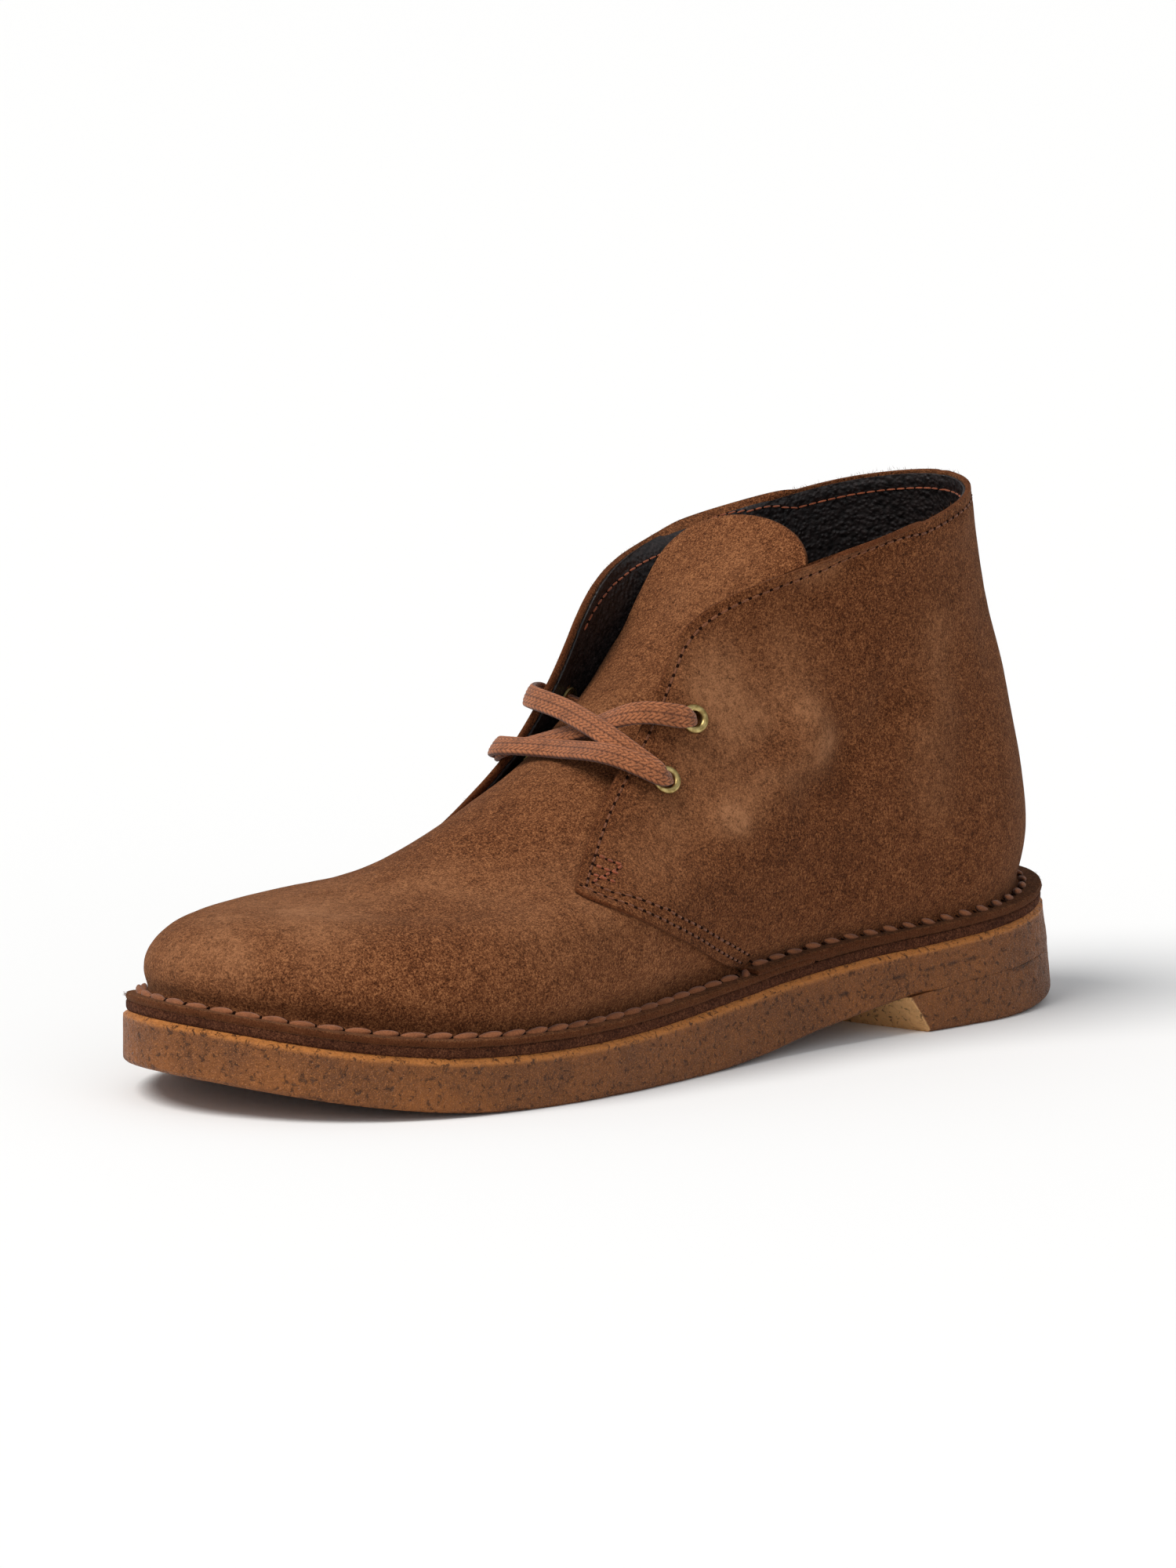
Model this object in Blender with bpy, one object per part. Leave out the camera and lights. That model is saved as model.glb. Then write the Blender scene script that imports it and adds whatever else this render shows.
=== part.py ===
# Desert boot, left shoe, standing empty. Metres, toe towards -Y, outer side +X, up +Z.
# The upper is worked out from level loops: each loop runs round the foot at one level, from the
# feather line where the upper meets its flange (level 0) up to the collar (level 1).
import math

import bmesh
import bpy
import numpy as np

# Sizes that drive the shape
SOLE_LENGTH = 0.300
BALL_WIDTH = 0.108
HEEL_WIDTH = 0.076
COLLAR_HEIGHT = 0.146
SOLE_HEIGHT = 0.029  # top of the crepe at the very back of the heel
CREPE_SPREAD = 0.0026  # how far the crepe's side leans out at the foot of the heel
CREPE_BEVEL = 0.0012
HEEL_SHARE = 0.232  # where the breast meets the outer side, from the heel end
BREAST_SLANT = 0.065  # how much further forward the breast ends on the inner side
BREAST_LEAN = 0.022  # how much further forward the breast's top is than its foot
MIDSOLE_THICKNESS = 0.0023
MIDSOLE_INSET = 0.0007
INSOLE_THICKNESS = 0.0026
INSOLE_INSET = 0.0027
VAMP_WALL = 0.0020
QUARTER_WALL = 0.0022
QUARTER_SINK = 0.0007  # how deep the quarter's wall reaches into the vamp's, so that the two join
FLANGE_THICKNESS = 0.0020
FLANGE_INSET = 0.0008
STAND_OFF_OUTER = 0.0036  # how far the outer facing stands off the vamp and the tongue
STAND_OFF_INNER = 0.0062
TONGUE_WALL = 0.0020
TONGUE_WIDTH = 0.053
TONGUE_ROUND = 0.16
TONGUE_TWIST = 0.13  # its outer edge falls back by this share of the half width, the inner comes forward
EYELET_RADIUS = 0.0040
EYELET_BORE = 0.0019
BARREL_RADIUS = 0.00235
BARREL_CLEARANCE = 0.0003
LACE_WIDTH = 0.0062
LACE_THICKNESS = 0.0015
FIT = 0.0003  # gap left between neighbours

# Sole's outline. share: of SOLE_LENGTH from the heel end. centre: of BALL_WIDTH, outwards.
# half: half width, of the width that heel and ball give at that share (see width_at).
OUTLINE = np.array([
    # share, centre,  half
    (0.020, 0.0000, 0.2345),
    (0.060, 0.0000, 0.3808),
    (0.120, 0.0010, 0.4675),
    (0.200, 0.0040, 0.4917),
    (0.300, 0.0135, 0.4608),
    (0.400, 0.0300, 0.4208),
    (0.500, 0.0450, 0.4187),
    (0.600, 0.0375, 0.4514),
    (0.680, 0.0190, 0.4817),
    (0.760, 0.0000, 0.4950),
    (0.840, -0.0185, 0.4685),
    (0.910, -0.0350, 0.3850),
    (0.960, -0.0515, 0.2665),
    (0.985, -0.0640, 0.1590),
])

# Sole from the side: heights as shares of SOLE_HEIGHT.
# crepe: top of the crepe. ground: its foot where it is the lowest piece, with arch and toe spring.
SIDE = np.array([
    # share, crepe, ground
    (0.00, 1.000, 0.145),
    (0.06, 0.924, 0.045),
    (0.12, 0.862, 0.003),
    (0.16, 0.832, 0.000),
    (0.22, 0.800, 0.000),
    (0.30, 0.759, 0.000),
    (0.40, 0.676, 0.000),
    (0.50, 0.586, 0.000),
    (0.60, 0.517, 0.000),
    (0.74, 0.495, 0.000),
    (0.82, 0.530, 0.045),
    (0.90, 0.628, 0.155),
    (1.00, 0.828, 0.362),
])
# Foot of the outsole, which leaves the ground at the ball and meets the heel lift behind the arch.
ARCH = np.array([
    # share, foot
    (0.00, 0.550),
    (0.10, 0.470),
    (0.20, 0.405),
    (0.25, 0.355),
    (0.30, 0.280),
    (0.36, 0.190),
    (0.43, 0.070),
    (0.50, 0.008),
    (0.56, 0.000),
    (0.61, 0.000),
    (0.74, 0.000),
    (0.82, 0.045),
    (0.90, 0.155),
    (1.00, 0.362),
])

# The upper's front edge in side view, up the toe, along the vamp and up the instep.
FRONT = np.array([
    # level, y of SOLE_LENGTH, z of COLLAR_HEIGHT
    (0.00, -0.4700, 0.199),
    (0.06, -0.4750, 0.240),
    (0.12, -0.4683, 0.281),
    (0.18, -0.4483, 0.315),
    (0.25, -0.4067, 0.334),
    (0.33, -0.3467, 0.337),
    (0.42, -0.2767, 0.358),
    (0.52, -0.2000, 0.412),
    (0.62, -0.1300, 0.490),
    (0.74, -0.0633, 0.616),
    (0.87, -0.0133, 0.730),
    (1.00, 0.0200, 0.829),
])
# Its back edge, up the heel to the collar.
BACK = np.array([
    # level, y of SOLE_LENGTH, z of COLLAR_HEIGHT
    (0.00, 0.4667, 0.233),
    (0.15, 0.4770, 0.336),
    (0.30, 0.4690, 0.445),
    (0.50, 0.4470, 0.610),
    (0.75, 0.4190, 0.808),
    (1.00, 0.4000, 1.000),
])
# Half widths of each level loop, one row a level; the columns are stations along the loop, as
# shares of the way from its back to its front. Shares of width_at that station.
STATIONS = np.array([0.03, 0.10, 0.22, 0.36, 0.50, 0.64, 0.76, 0.87, 0.96])
OUTER_SIDE = np.array([
    # level, then the nine stations
    (0.00, 0.230, 0.382, 0.420, 0.382, 0.382, 0.422, 0.440, 0.370, 0.204),
    (0.08, 0.237, 0.408, 0.466, 0.436, 0.429, 0.464, 0.477, 0.398, 0.218),
    (0.18, 0.243, 0.414, 0.479, 0.454, 0.439, 0.450, 0.449, 0.366, 0.199),
    (0.32, 0.237, 0.395, 0.466, 0.448, 0.419, 0.398, 0.370, 0.292, 0.162),
    (0.50, 0.211, 0.355, 0.427, 0.412, 0.367, 0.323, 0.287, 0.222, 0.125),
    (0.70, 0.184, 0.316, 0.394, 0.382, 0.326, 0.267, 0.227, 0.171, 0.097),
    (1.00, 0.158, 0.283, 0.374, 0.376, 0.320, 0.262, 0.222, 0.167, 0.093),
])
INNER_SIDE = np.array([
    # level, then the nine stations
    (0.00, 0.230, 0.375, 0.401, 0.340, 0.284, 0.337, 0.403, 0.394, 0.259),
    (0.08, 0.237, 0.401, 0.446, 0.382, 0.331, 0.389, 0.444, 0.421, 0.273),
    (0.18, 0.243, 0.408, 0.460, 0.406, 0.362, 0.394, 0.421, 0.384, 0.241),
    (0.32, 0.237, 0.395, 0.453, 0.412, 0.367, 0.361, 0.352, 0.301, 0.171),
    (0.50, 0.211, 0.355, 0.427, 0.400, 0.346, 0.309, 0.282, 0.222, 0.125),
    (0.70, 0.184, 0.316, 0.394, 0.382, 0.326, 0.267, 0.227, 0.171, 0.097),
    (1.00, 0.158, 0.283, 0.374, 0.376, 0.320, 0.262, 0.222, 0.167, 0.093),
])
INNER_CORNER_SHIFT = 0.022
TOE_SWING = 0.065  # how far the toe swings towards the big toe, of BALL_WIDTH

# Front edge of a quarter: seam on the vamp up to its lower front corner (level 0.353), then the
# free facing, then the rounded top corner. place: round the loop, 0 at the front, 1 at the back.
FACING = np.array([
    # level, place
    (0.000, 0.535),
    (0.050, 0.508),
    (0.100, 0.480),
    (0.190, 0.422),
    (0.270, 0.368),
    (0.353, 0.315),
    (0.460, 0.283),
    (0.550, 0.255),
    (0.630, 0.236),
    (0.730, 0.224),
    (0.830, 0.208),
    (0.885, 0.203),
    (0.925, 0.218),
    (0.955, 0.248),
    (0.978, 0.296),
    (0.992, 0.355),
    (1.000, 0.420),
])
QUARTER_LEVELS = (0.0, 0.035, 0.08, 0.13, 0.19, 0.27, 0.353, 0.43, 0.51, 0.60, 0.68, 0.76,
                  0.83, 0.885, 0.925, 0.955, 0.978, 0.992, 1.0)
# Side edge of the vamp, hidden under the quarter.
VAMP_SIDE = np.array([
    # level, place
    (0.000, 0.585),
    (0.100, 0.530),
    (0.190, 0.472),
    (0.270, 0.418),
    (0.353, 0.368),
    (0.450, 0.325),
    (0.550, 0.298),
])
VAMP_LEVELS = (0.0, 0.03, 0.065, 0.105, 0.15, 0.20, 0.26, 0.33, 0.40, 0.475, 0.55)
THROAT_LEVEL = 0.553  # where the tongue starts, just above the vamp's top edge
THROAT_PLACE = 0.287

# The tongue's middle line, from the throat to its top, and how much its sides fall back.
TONGUE = np.array([
    # along, y of SOLE_LENGTH, z of COLLAR_HEIGHT, curl (1/m), width of TONGUE_WIDTH
    (0.00, -0.1790, 0.4340, 50.0, 0.86),
    (0.13, -0.1390, 0.4720, 46.0, 0.85),
    (0.26, -0.0980, 0.5120, 38.0, 0.81),
    (0.38, -0.0500, 0.5630, 29.0, 0.81),
    (0.52, 0.0030, 0.6340, 23.0, 0.84),
    (0.68, 0.0600, 0.7320, 15.0, 0.90),
    (0.84, 0.1150, 0.8470, 9.0, 0.96),
    (1.00, 0.1630, 0.9560, 6.0, 1.00),
])
# Eyelet centres on each quarter.
EYELETS = {
    "upper": (0.699, 0.304),
    "lower": (0.589, 0.314),
}

AROUND = 54  # columns round a quarter
VAMP_COLUMNS = 35
SOLE_STATIONS = 48
EYELET_STEPS = 16
LACE_STEPS = 18


def curve(xs, ys, x):
    """Smooth curve through points: cubic pieces that share the mean slope at each point."""
    xs = np.asarray(xs, float)
    ys = np.asarray(ys, float)
    x = np.clip(x, xs[0], xs[-1])
    slopes = np.gradient(ys, xs, axis=0)
    i = np.clip(np.searchsorted(xs, x) - 1, 0, len(xs) - 2)
    step = xs[i + 1] - xs[i]
    t = (x - xs[i]) / step
    if ys.ndim > 1:
        step = step[..., None]
        t = t[..., None]
    low = 2 * t**3 - 3 * t**2 + 1
    rise = (t**3 - 2 * t**2 + t) * step * slopes[i]
    fall = (t**3 - t**2) * step * slopes[i + 1]
    return low * ys[i] + rise + (1 - low) * ys[i + 1] + fall


def smooth(x, start, end):
    """0 before start, 1 after end, and an even S between."""
    t = np.clip((x - start) / (end - start), 0, 1)
    return t * t * (3 - 2 * t)


def width_at(share):
    """HEEL_WIDTH over the back fifth, BALL_WIDTH over the front third, and an even S between."""
    return HEEL_WIDTH + (BALL_WIDTH - HEEL_WIDTH) * smooth(share, 0.2, 0.7)


def outline(angle, side, offset=0.0):
    """Plan point (x, y) of the sole's edge, moved outwards by offset. angle runs from 0 at the
    heel end to pi at the toe end, and the half width is its sine times a smooth factor, so both
    ends are round."""
    def edge(angle):
        share = (1 - np.cos(angle)) / 2
        stations = np.arccos(1 - 2 * OUTLINE[:, 0])
        factor = OUTLINE[:, 2] * width_at(OUTLINE[:, 0]) / np.sin(stations)
        middle = curve(OUTLINE[:, 0], OUTLINE[:, 1], share) * BALL_WIDTH
        x = middle + side * np.sin(angle) * curve(stations, factor, angle)
        return np.stack([x, SOLE_LENGTH * (0.5 - share)], -1)

    step = 1e-3
    along = edge(angle + step) - edge(angle - step)
    out = np.stack([-along[..., 1], along[..., 0]], -1) * side
    out = out / np.linalg.norm(out, axis=-1, keepdims=True)
    return edge(angle) + out * offset


def share_of(y):
    return 0.5 - y / SOLE_LENGTH


def crepe_top(y):
    return curve(SIDE[:, 0], SIDE[:, 1], share_of(y)) * SOLE_HEIGHT


def ground(y):
    return np.maximum(curve(SIDE[:, 0], SIDE[:, 2], share_of(y)), 0) * SOLE_HEIGHT


def outsole_foot(y):
    return np.maximum(curve(ARCH[:, 0], ARCH[:, 1], share_of(y)), 0) * SOLE_HEIGHT


def midsole_top(y):
    return crepe_top(y) + FIT + MIDSOLE_THICKNESS


def flange_foot(y):
    return midsole_top(y) + FIT


def feather(y):
    """Height of the line where the upper's wall meets its flange."""
    return flange_foot(y) + FLANGE_THICKNESS


def half_width(table, level, angle):
    """Half width of a level loop: the table read smoothly by level, then by angle round it."""
    shares = STATIONS
    rows = table[:, 1:] * width_at(shares) / np.sqrt(4 * shares * (1 - shares))
    value = np.moveaxis(curve(table[:, 0], rows, level), -1, 0)
    stations = np.arccos(1 - 2 * shares)
    slopes = np.gradient(value, stations, axis=0)
    x = np.clip(angle, stations[0], stations[-1])
    i = np.clip(np.searchsorted(stations, x) - 1, 0, len(stations) - 2)
    step = stations[i + 1] - stations[i]
    t = (x - stations[i]) / step

    def pick(values, index):
        return np.take_along_axis(values, index[None], 0)[0]

    low = 2 * t**3 - 3 * t**2 + 1
    rise = (t**3 - 2 * t**2 + t) * step * pick(slopes, i)
    fall = (t**3 - t**2) * step * pick(slopes, i + 1)
    factor = low * pick(value, i) + rise + (1 - low) * pick(value, i + 1) + fall
    return factor * np.sin(angle)


def last(level, place):
    """The vamp's outer face, and the form all of the upper hangs on. place runs round the level
    loop: 0 at the front, 1 at the back by the outer side, -1 at the back by the inner side. Each
    loop runs evenly from its front point to its back point in side view, and level 0 follows
    the feather line of the sole."""
    level, place = np.broadcast_arrays(np.asarray(level, float), np.asarray(place, float))
    place = (place + 1) % 2 - 1
    angle = math.pi * (1 - np.abs(place))
    share = (1 - np.cos(angle)) / 2
    size = np.array([SOLE_LENGTH, COLLAR_HEIGHT])
    front = curve(FRONT[:, 0], FRONT[:, 1:], level) * size
    back = curve(BACK[:, 0], BACK[:, 1:], level) * size
    y = back[..., 0] + (front[..., 0] - back[..., 0]) * share
    z = back[..., 1] + (front[..., 1] - back[..., 1]) * share
    foot_front = FRONT[0, 1:] * size
    foot_back = BACK[0, 1:] * size
    foot_y = foot_back[0] + (foot_front[0] - foot_back[0]) * share
    foot_z = foot_back[1] + (foot_front[1] - foot_back[1]) * share
    z = z + (feather(foot_y) - foot_z) * np.clip(1 - level / 0.75, 0, 1) ** 2
    outer = half_width(OUTER_SIDE, level, angle)
    inner = half_width(INNER_SIDE, level, angle)
    x = np.where(place >= 0, outer, -inner)
    swing = np.clip((-y / SOLE_LENGTH - 0.2) / 0.28, 0, 1) ** 1.6
    x = x - TOE_SWING * BALL_WIDTH * swing
    return np.stack([x, y, z], -1)


def last_normal(level, place):
    """Outward normal of the last, from small steps both ways. It turns level towards the feather
    line, so that walls of any thickness meet the flange side by side."""
    level, place = np.broadcast_arrays(np.asarray(level, float), np.asarray(place, float))
    step = 2e-3
    up = last(np.minimum(level + step, 1), place) - last(np.maximum(level - step, 0), place)
    along = last(level, place + step) - last(level, place - step)
    normal = np.cross(along, up)
    normal = normal / np.linalg.norm(normal, axis=-1, keepdims=True)
    normal[..., 2] = normal[..., 2] * smooth(level, -0.02, 0.12)
    return normal / np.linalg.norm(normal, axis=-1, keepdims=True)


def facing_place(level, side=1):
    """Straight between the rows, so the seam keeps its corner. The inner quarter's lower corner
    sits a little further round the foot."""
    back = INNER_CORNER_SHIFT * smooth(level, 0.1, 0.353) * (1 - smooth(level, 0.4, 0.62))
    return np.interp(level, FACING[:, 0], FACING[:, 1]) + np.where(side < 0, back, 0)


def stand_off(level, place):
    """How far a quarter stands off the last: nothing at its seam, most along the facing."""
    place = (place + 1) % 2 - 1
    most = np.where(place >= 0, STAND_OFF_OUTER, STAND_OFF_INNER)
    reach = np.where(place >= 0, 0.20, 0.26)
    from_edge = (np.abs(place) - facing_place(level, place)) / reach
    height = np.where(place >= 0, smooth(level, 0.38, 0.66), smooth(level, 0.40, 0.95))
    return most * height * (1 - smooth(from_edge, 0, 1))


def quarter(level, place, depth=0.0):
    """Point of a quarter, depth below its outer face."""
    out = QUARTER_WALL - QUARTER_SINK - depth + stand_off(level, place)
    return last(level, place) + last_normal(level, place) * out[..., None]


def tongue(along, across, depth=0.0):
    """Point of the tongue. along: 0 at the throat, 1 at the top; across: -1 to 1. At the throat
    it has the vamp's own form; further up it flattens about its middle line."""
    def face(along, across):
        middle = curve(TONGUE[:, 0], TONGUE[:, 1:3], along) * np.array([SOLE_LENGTH, COLLAR_HEIGHT])
        curl = curve(TONGUE[:, 0], TONGUE[:, 3], along)
        share = smooth(along, 0, 0.45)
        throat = last(np.full_like(across, THROAT_LEVEL), across * THROAT_PLACE)
        centre = last(np.full_like(across, THROAT_LEVEL), np.zeros_like(across))
        from_throat = throat - centre
        x = across * TONGUE_WIDTH / 2 * curve(TONGUE[:, 0], TONGUE[:, 4], along)
        own = np.stack([x, curl * x**2 + TONGUE_TWIST * x, 0 * x], -1)
        shape = from_throat + (own - from_throat) * share[..., None]
        start = centre[..., 1:] - TONGUE[0, 1:3] * np.array([SOLE_LENGTH, COLLAR_HEIGHT])
        middle = middle + start * (1 - smooth(along, 0, 0.3))[..., None]
        spine = np.concatenate([np.zeros_like(x)[..., None], middle], -1)
        return spine + shape

    along, across = np.broadcast_arrays(np.asarray(along, float), np.asarray(across, float))
    step = 1e-3
    up = face(np.minimum(along + step, 1), across) - face(np.maximum(along - step, 0), across)
    side = face(along, across + step) - face(along, across - step)
    normal = np.cross(side, up)
    normal = normal / np.linalg.norm(normal, axis=-1, keepdims=True)
    at_throat = last_normal(np.full_like(across, THROAT_LEVEL), across * THROAT_PLACE)
    share = smooth(along, 0, 0.12)[..., None]
    normal = at_throat * (1 - share) + normal * share
    return face(along, across) - normal * depth


def spread(y):
    """How far the crepe's foot leans out: most at the heel, nothing at the toe."""
    return CREPE_SPREAD * (1 - smooth(share_of(y), 0.35, 0.95))


def plan_loop(offset, first=0.0, last_angle=math.pi):
    """Closed plan loop of the sole, outer side from the heel end to the toe end and back along
    the inner side."""
    angle = np.linspace(first, last_angle, SOLE_STATIONS + 1)
    outer = outline(angle, 1, offset)
    inner = outline(angle[-2:0:-1], -1, offset)
    return np.concatenate([outer, inner])


def sole_row(offset, height, lean=0.0):
    """One row of a sole piece: the plan loop at an offset, at a height that depends on y only.
    lean adds that share of the crepe's spread."""
    loop = plan_loop(offset)
    if lean:
        wide = plan_loop(offset + CREPE_SPREAD)
        loop = loop + (wide - loop) * (lean * spread(loop[:, 1]) / CREPE_SPREAD)[:, None]
    return np.column_stack([loop, height(loop[:, 1])])


def new_object(name, points, faces, color, roughness, flat=False):
    """A mesh object with its own material, its faces turned outwards."""
    mesh = bpy.data.meshes.new(name)
    mesh.from_pydata([tuple(p) for p in np.asarray(points, float)], [], [tuple(f) for f in faces])
    work = bmesh.new()
    work.from_mesh(mesh)
    bmesh.ops.remove_doubles(work, verts=work.verts, dist=2e-6)
    bmesh.ops.recalc_face_normals(work, faces=work.faces)
    if work.calc_volume(signed=True) < 0:
        bmesh.ops.reverse_faces(work, faces=work.faces)
    work.to_mesh(mesh)
    work.free()
    mesh.shade_flat() if flat else mesh.shade_smooth()
    obj = bpy.data.objects.new(name, mesh)
    bpy.context.scene.collection.objects.link(obj)
    material = bpy.data.materials.new(name + "_finish")
    material.use_nodes = True
    shader = material.node_tree.nodes["Principled BSDF"]
    shader.inputs["Base Color"].default_value = (*color, 1)
    shader.inputs["Roughness"].default_value = roughness
    mesh.materials.append(material)
    return obj


def stacked(name, rows, color, roughness):
    """A solid from closed rows of equal length, stacked from foot to top. Each row's points come
    in pairs across the sole, so both ends close with strips from side to side."""
    count = len(rows[0])
    points = np.concatenate(rows)
    faces = []
    for r in range(len(rows) - 1):
        low = r * count
        high = low + count
        for k in range(count):
            after = (k + 1) % count
            faces.append((low + k, low + after, high + after, high + k))
    half = count // 2
    for start, flip in ((0, True), ((len(rows) - 1) * count, False)):
        for k in range(half):
            across = [k, k + 1, (count - k - 1) % count, (count - k) % count]
            across = list(dict.fromkeys(start + q for q in across))
            if len(across) > 2:
                faces.append(tuple(across[::-1]) if flip else tuple(across))
    return new_object(name, points, faces, color, roughness)


def tube(name, sections, strips, color, roughness, hidden=False):
    """A solid from open sections: each is a closed ring of points, swept from first to last and
    closed at both ends by strips, given as index tuples into a ring."""
    sections = np.asarray(sections)
    columns, count = sections.shape[:2]
    faces = []
    for c in range(columns - 1):
        for k in range(count):
            a = c * count + k
            b = c * count + (k + 1) % count
            faces.append((a, b, b + count, a + count))
    for strip in strips:
        faces.append(tuple(strip))
        faces.append(tuple((columns - 1) * count + k for k in reversed(strip)))
    obj = new_object(name, sections.reshape(-1, 3), faces, color, roughness)
    if hidden:
        obj.hide_render = True
        obj.display_type = "WIRE"
    return obj


def wall_strips(levels):
    """Strips that close the end of a wall section: pairs of outer and inner points, then the
    flange's own four-sided pieces."""
    n = levels
    top = 2 * n + 4
    strips = [(k, k + 1, top - k - 1, top - k) for k in range(n - 1)]
    strips.append((n - 1, n, n + 3, n + 4, n + 5))
    strips.append((n, n + 1, n + 2, n + 3))
    return strips


def wall_section(outer, inner, edge, foot, top):
    """Ring of points through the wall at each place round the foot: down the outer face, out
    along the flange's top, round its edge, back under it and up the inner face."""
    base = outer[-1]
    middle = base + (edge - base) * 0.45
    rows = list(outer)
    rows.append(np.column_stack([middle[:, :2], top(middle[:, 1])]))
    rows.append(np.column_stack([edge[:, :2], top(edge[:, 1])]))
    rows.append(np.column_stack([edge[:, :2], foot(edge[:, 1])]))
    rows.append(np.column_stack([middle[:, :2], foot(middle[:, 1])]))
    low = inner[-1]
    rows.append(np.column_stack([low[:, :2], foot(low[:, 1])]))
    rows.extend(inner[::-1])
    return np.stack(rows, 1)


def flange_edge(place, inset):
    """Where the flange ends, at each place round the foot."""
    place = (place + 1) % 2 - 1
    angle = math.pi * (1 - np.abs(place))
    outer = outline(angle, 1, -inset)
    inner = outline(angle, -1, -inset)
    plan = np.where((place >= 0)[:, None], outer, inner)
    return np.column_stack([plan, 0 * plan[:, 0]])


def apply_boolean(target, other, operation):
    """Applies one exact Boolean and removes the other object."""
    modifier = target.modifiers.new("join", "BOOLEAN")
    modifier.object = other
    modifier.operation = operation
    modifier.solver = "EXACT"
    bpy.context.view_layer.update()
    graph = bpy.context.evaluated_depsgraph_get()
    mesh = bpy.data.meshes.new_from_object(target.evaluated_get(graph))
    target.modifiers.clear()
    target.data = mesh
    bpy.data.objects.remove(other)


def turned(name, profile, centre, axis, steps, color, roughness, hidden=False):
    """A solid turned about an axis through centre: the profile is a closed list of
    (radius, height) points."""
    axis = axis / np.linalg.norm(axis)
    side = np.cross(axis, [0.0, 0.0, 1.0])
    side = side / np.linalg.norm(side)
    up = np.cross(axis, side)
    angle = np.linspace(0, 2 * math.pi, steps, endpoint=False)
    radial = np.cos(angle)[:, None] * side + np.sin(angle)[:, None] * up
    radius, height = np.array(profile).T
    points = centre + radial[:, None] * radius[None, :, None] + axis * height[None, :, None]
    count = len(profile)
    faces = []
    for a in range(steps):
        for k in range(count):
            b = (a + 1) % steps
            q = (k + 1) % count
            faces.append((a * count + k, b * count + k, b * count + q, a * count + q))
    obj = new_object(name, points.reshape(-1, 3), faces, color, roughness)
    if hidden:
        obj.hide_render = True
        obj.display_type = "WIRE"
    return obj


def plug(name, radius, reach, centre, axis, steps):
    """A cutter: a plain cylinder along axis, reach long both ways."""
    axis = axis / np.linalg.norm(axis)
    side = np.cross(axis, [0.0, 0.0, 1.0])
    side = side / np.linalg.norm(side)
    up = np.cross(axis, side)
    angle = np.linspace(0, 2 * math.pi, steps, endpoint=False)
    ring = (np.cos(angle)[:, None] * side + np.sin(angle)[:, None] * up) * radius
    points = np.concatenate([centre + ring - axis * reach, centre + ring + axis * reach])
    faces = [tuple(range(steps)), tuple(range(2 * steps - 1, steps - 1, -1))]
    for k in range(steps):
        after = (k + 1) % steps
        faces.append((k, k + steps, after + steps, after))
    obj = new_object(name, points, faces, (0.5, 0.5, 0.5), 0.5)
    obj.hide_render = True
    obj.display_type = "WIRE"
    return obj


SUEDE = (0.150, 0.062, 0.028)
CREPE = (0.210, 0.098, 0.045)
LEATHER = (0.120, 0.048, 0.022)
LINING = (0.020, 0.013, 0.011)
BRASS = (0.420, 0.310, 0.120)
WOVEN = (0.240, 0.095, 0.055)

for obj in list(bpy.data.objects):
    bpy.data.objects.remove(obj)

# Outsole: crepe from the toe to the back, with the heel lift under it.
outsole = stacked(
    "outsole",
    [
        sole_row(-0.0010, outsole_foot, 0.5),
        sole_row(0.0, lambda y: outsole_foot(y) + 0.0011, 0.5),
        sole_row(0.0, lambda y: (outsole_foot(y) + crepe_top(y)) / 2, 0.35),
        sole_row(0.0, lambda y: crepe_top(y) - CREPE_BEVEL),
        sole_row(-CREPE_BEVEL, crepe_top),
    ],
    CREPE,
    0.6,
)


def heel_row(offset, height, lean, up):
    """One row of the heel lift: round the back from the breast's outer end to its inner end. The
    breast slants forwards to the inner side and leans forwards as it rises."""
    ends = np.array([HEEL_SHARE, HEEL_SHARE + BREAST_SLANT]) + BREAST_LEAN * up
    stop = np.arccos(1 - 2 * ends)
    outer = outline(np.linspace(0, stop[0], 25), 1, offset)
    inner = outline(np.linspace(stop[1], 0, 25)[:-1], -1, offset)
    loop = np.concatenate([outer, inner])
    grow = outline(np.linspace(0, stop[0], 25), 1, offset + 1e-3)
    back = outline(np.linspace(stop[1], 0, 25)[:-1], -1, offset + 1e-3)
    out = (np.concatenate([grow, back]) - loop) / 1e-3
    loop = loop + out * (lean * spread(loop[:, 1]))[:, None]
    return np.column_stack([loop, height(loop[:, 1])])


def heel_solid():
    """The heel lift, stacked from its foot to just under the outsole. Its rows have one more
    point on the outer side than on the inner, so the two ends of the breast face each other."""
    under = 0.00001
    rows = [
        heel_row(-0.0012, ground, 1.0, 0.0),
        heel_row(0.0, lambda y: ground(y) + 0.0013, 1.0, 0.12),
        heel_row(0.0, lambda y: (ground(y) + outsole_foot(y)) / 2, 0.75, 0.5),
        heel_row(0.0, lambda y: outsole_foot(y) - FIT - under, 0.5, 1.0),
    ]
    count = len(rows[0])
    points = np.concatenate(rows)
    faces = []
    for r in range(len(rows) - 1):
        low = r * count
        for k in range(count):
            after = (k + 1) % count
            faces.append((low + k, low + after, low + count + after, low + count + k))
    for start, flip in ((0, True), ((len(rows) - 1) * count, False)):
        for k in range(count // 2):
            across = [k, k + 1, count - k - 1, (count - k) % count]
            across = list(dict.fromkeys(start + q for q in across))
            faces.append(tuple(across[::-1]) if flip else tuple(across))
    return new_object("heel", points, faces, CREPE, 0.6)


heel_solid()

midsole = stacked(
    "midsole",
    [
        sole_row(-MIDSOLE_INSET, lambda y: crepe_top(y) + FIT),
        sole_row(-MIDSOLE_INSET, midsole_top),
    ],
    LEATHER,
    0.8,
)


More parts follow.
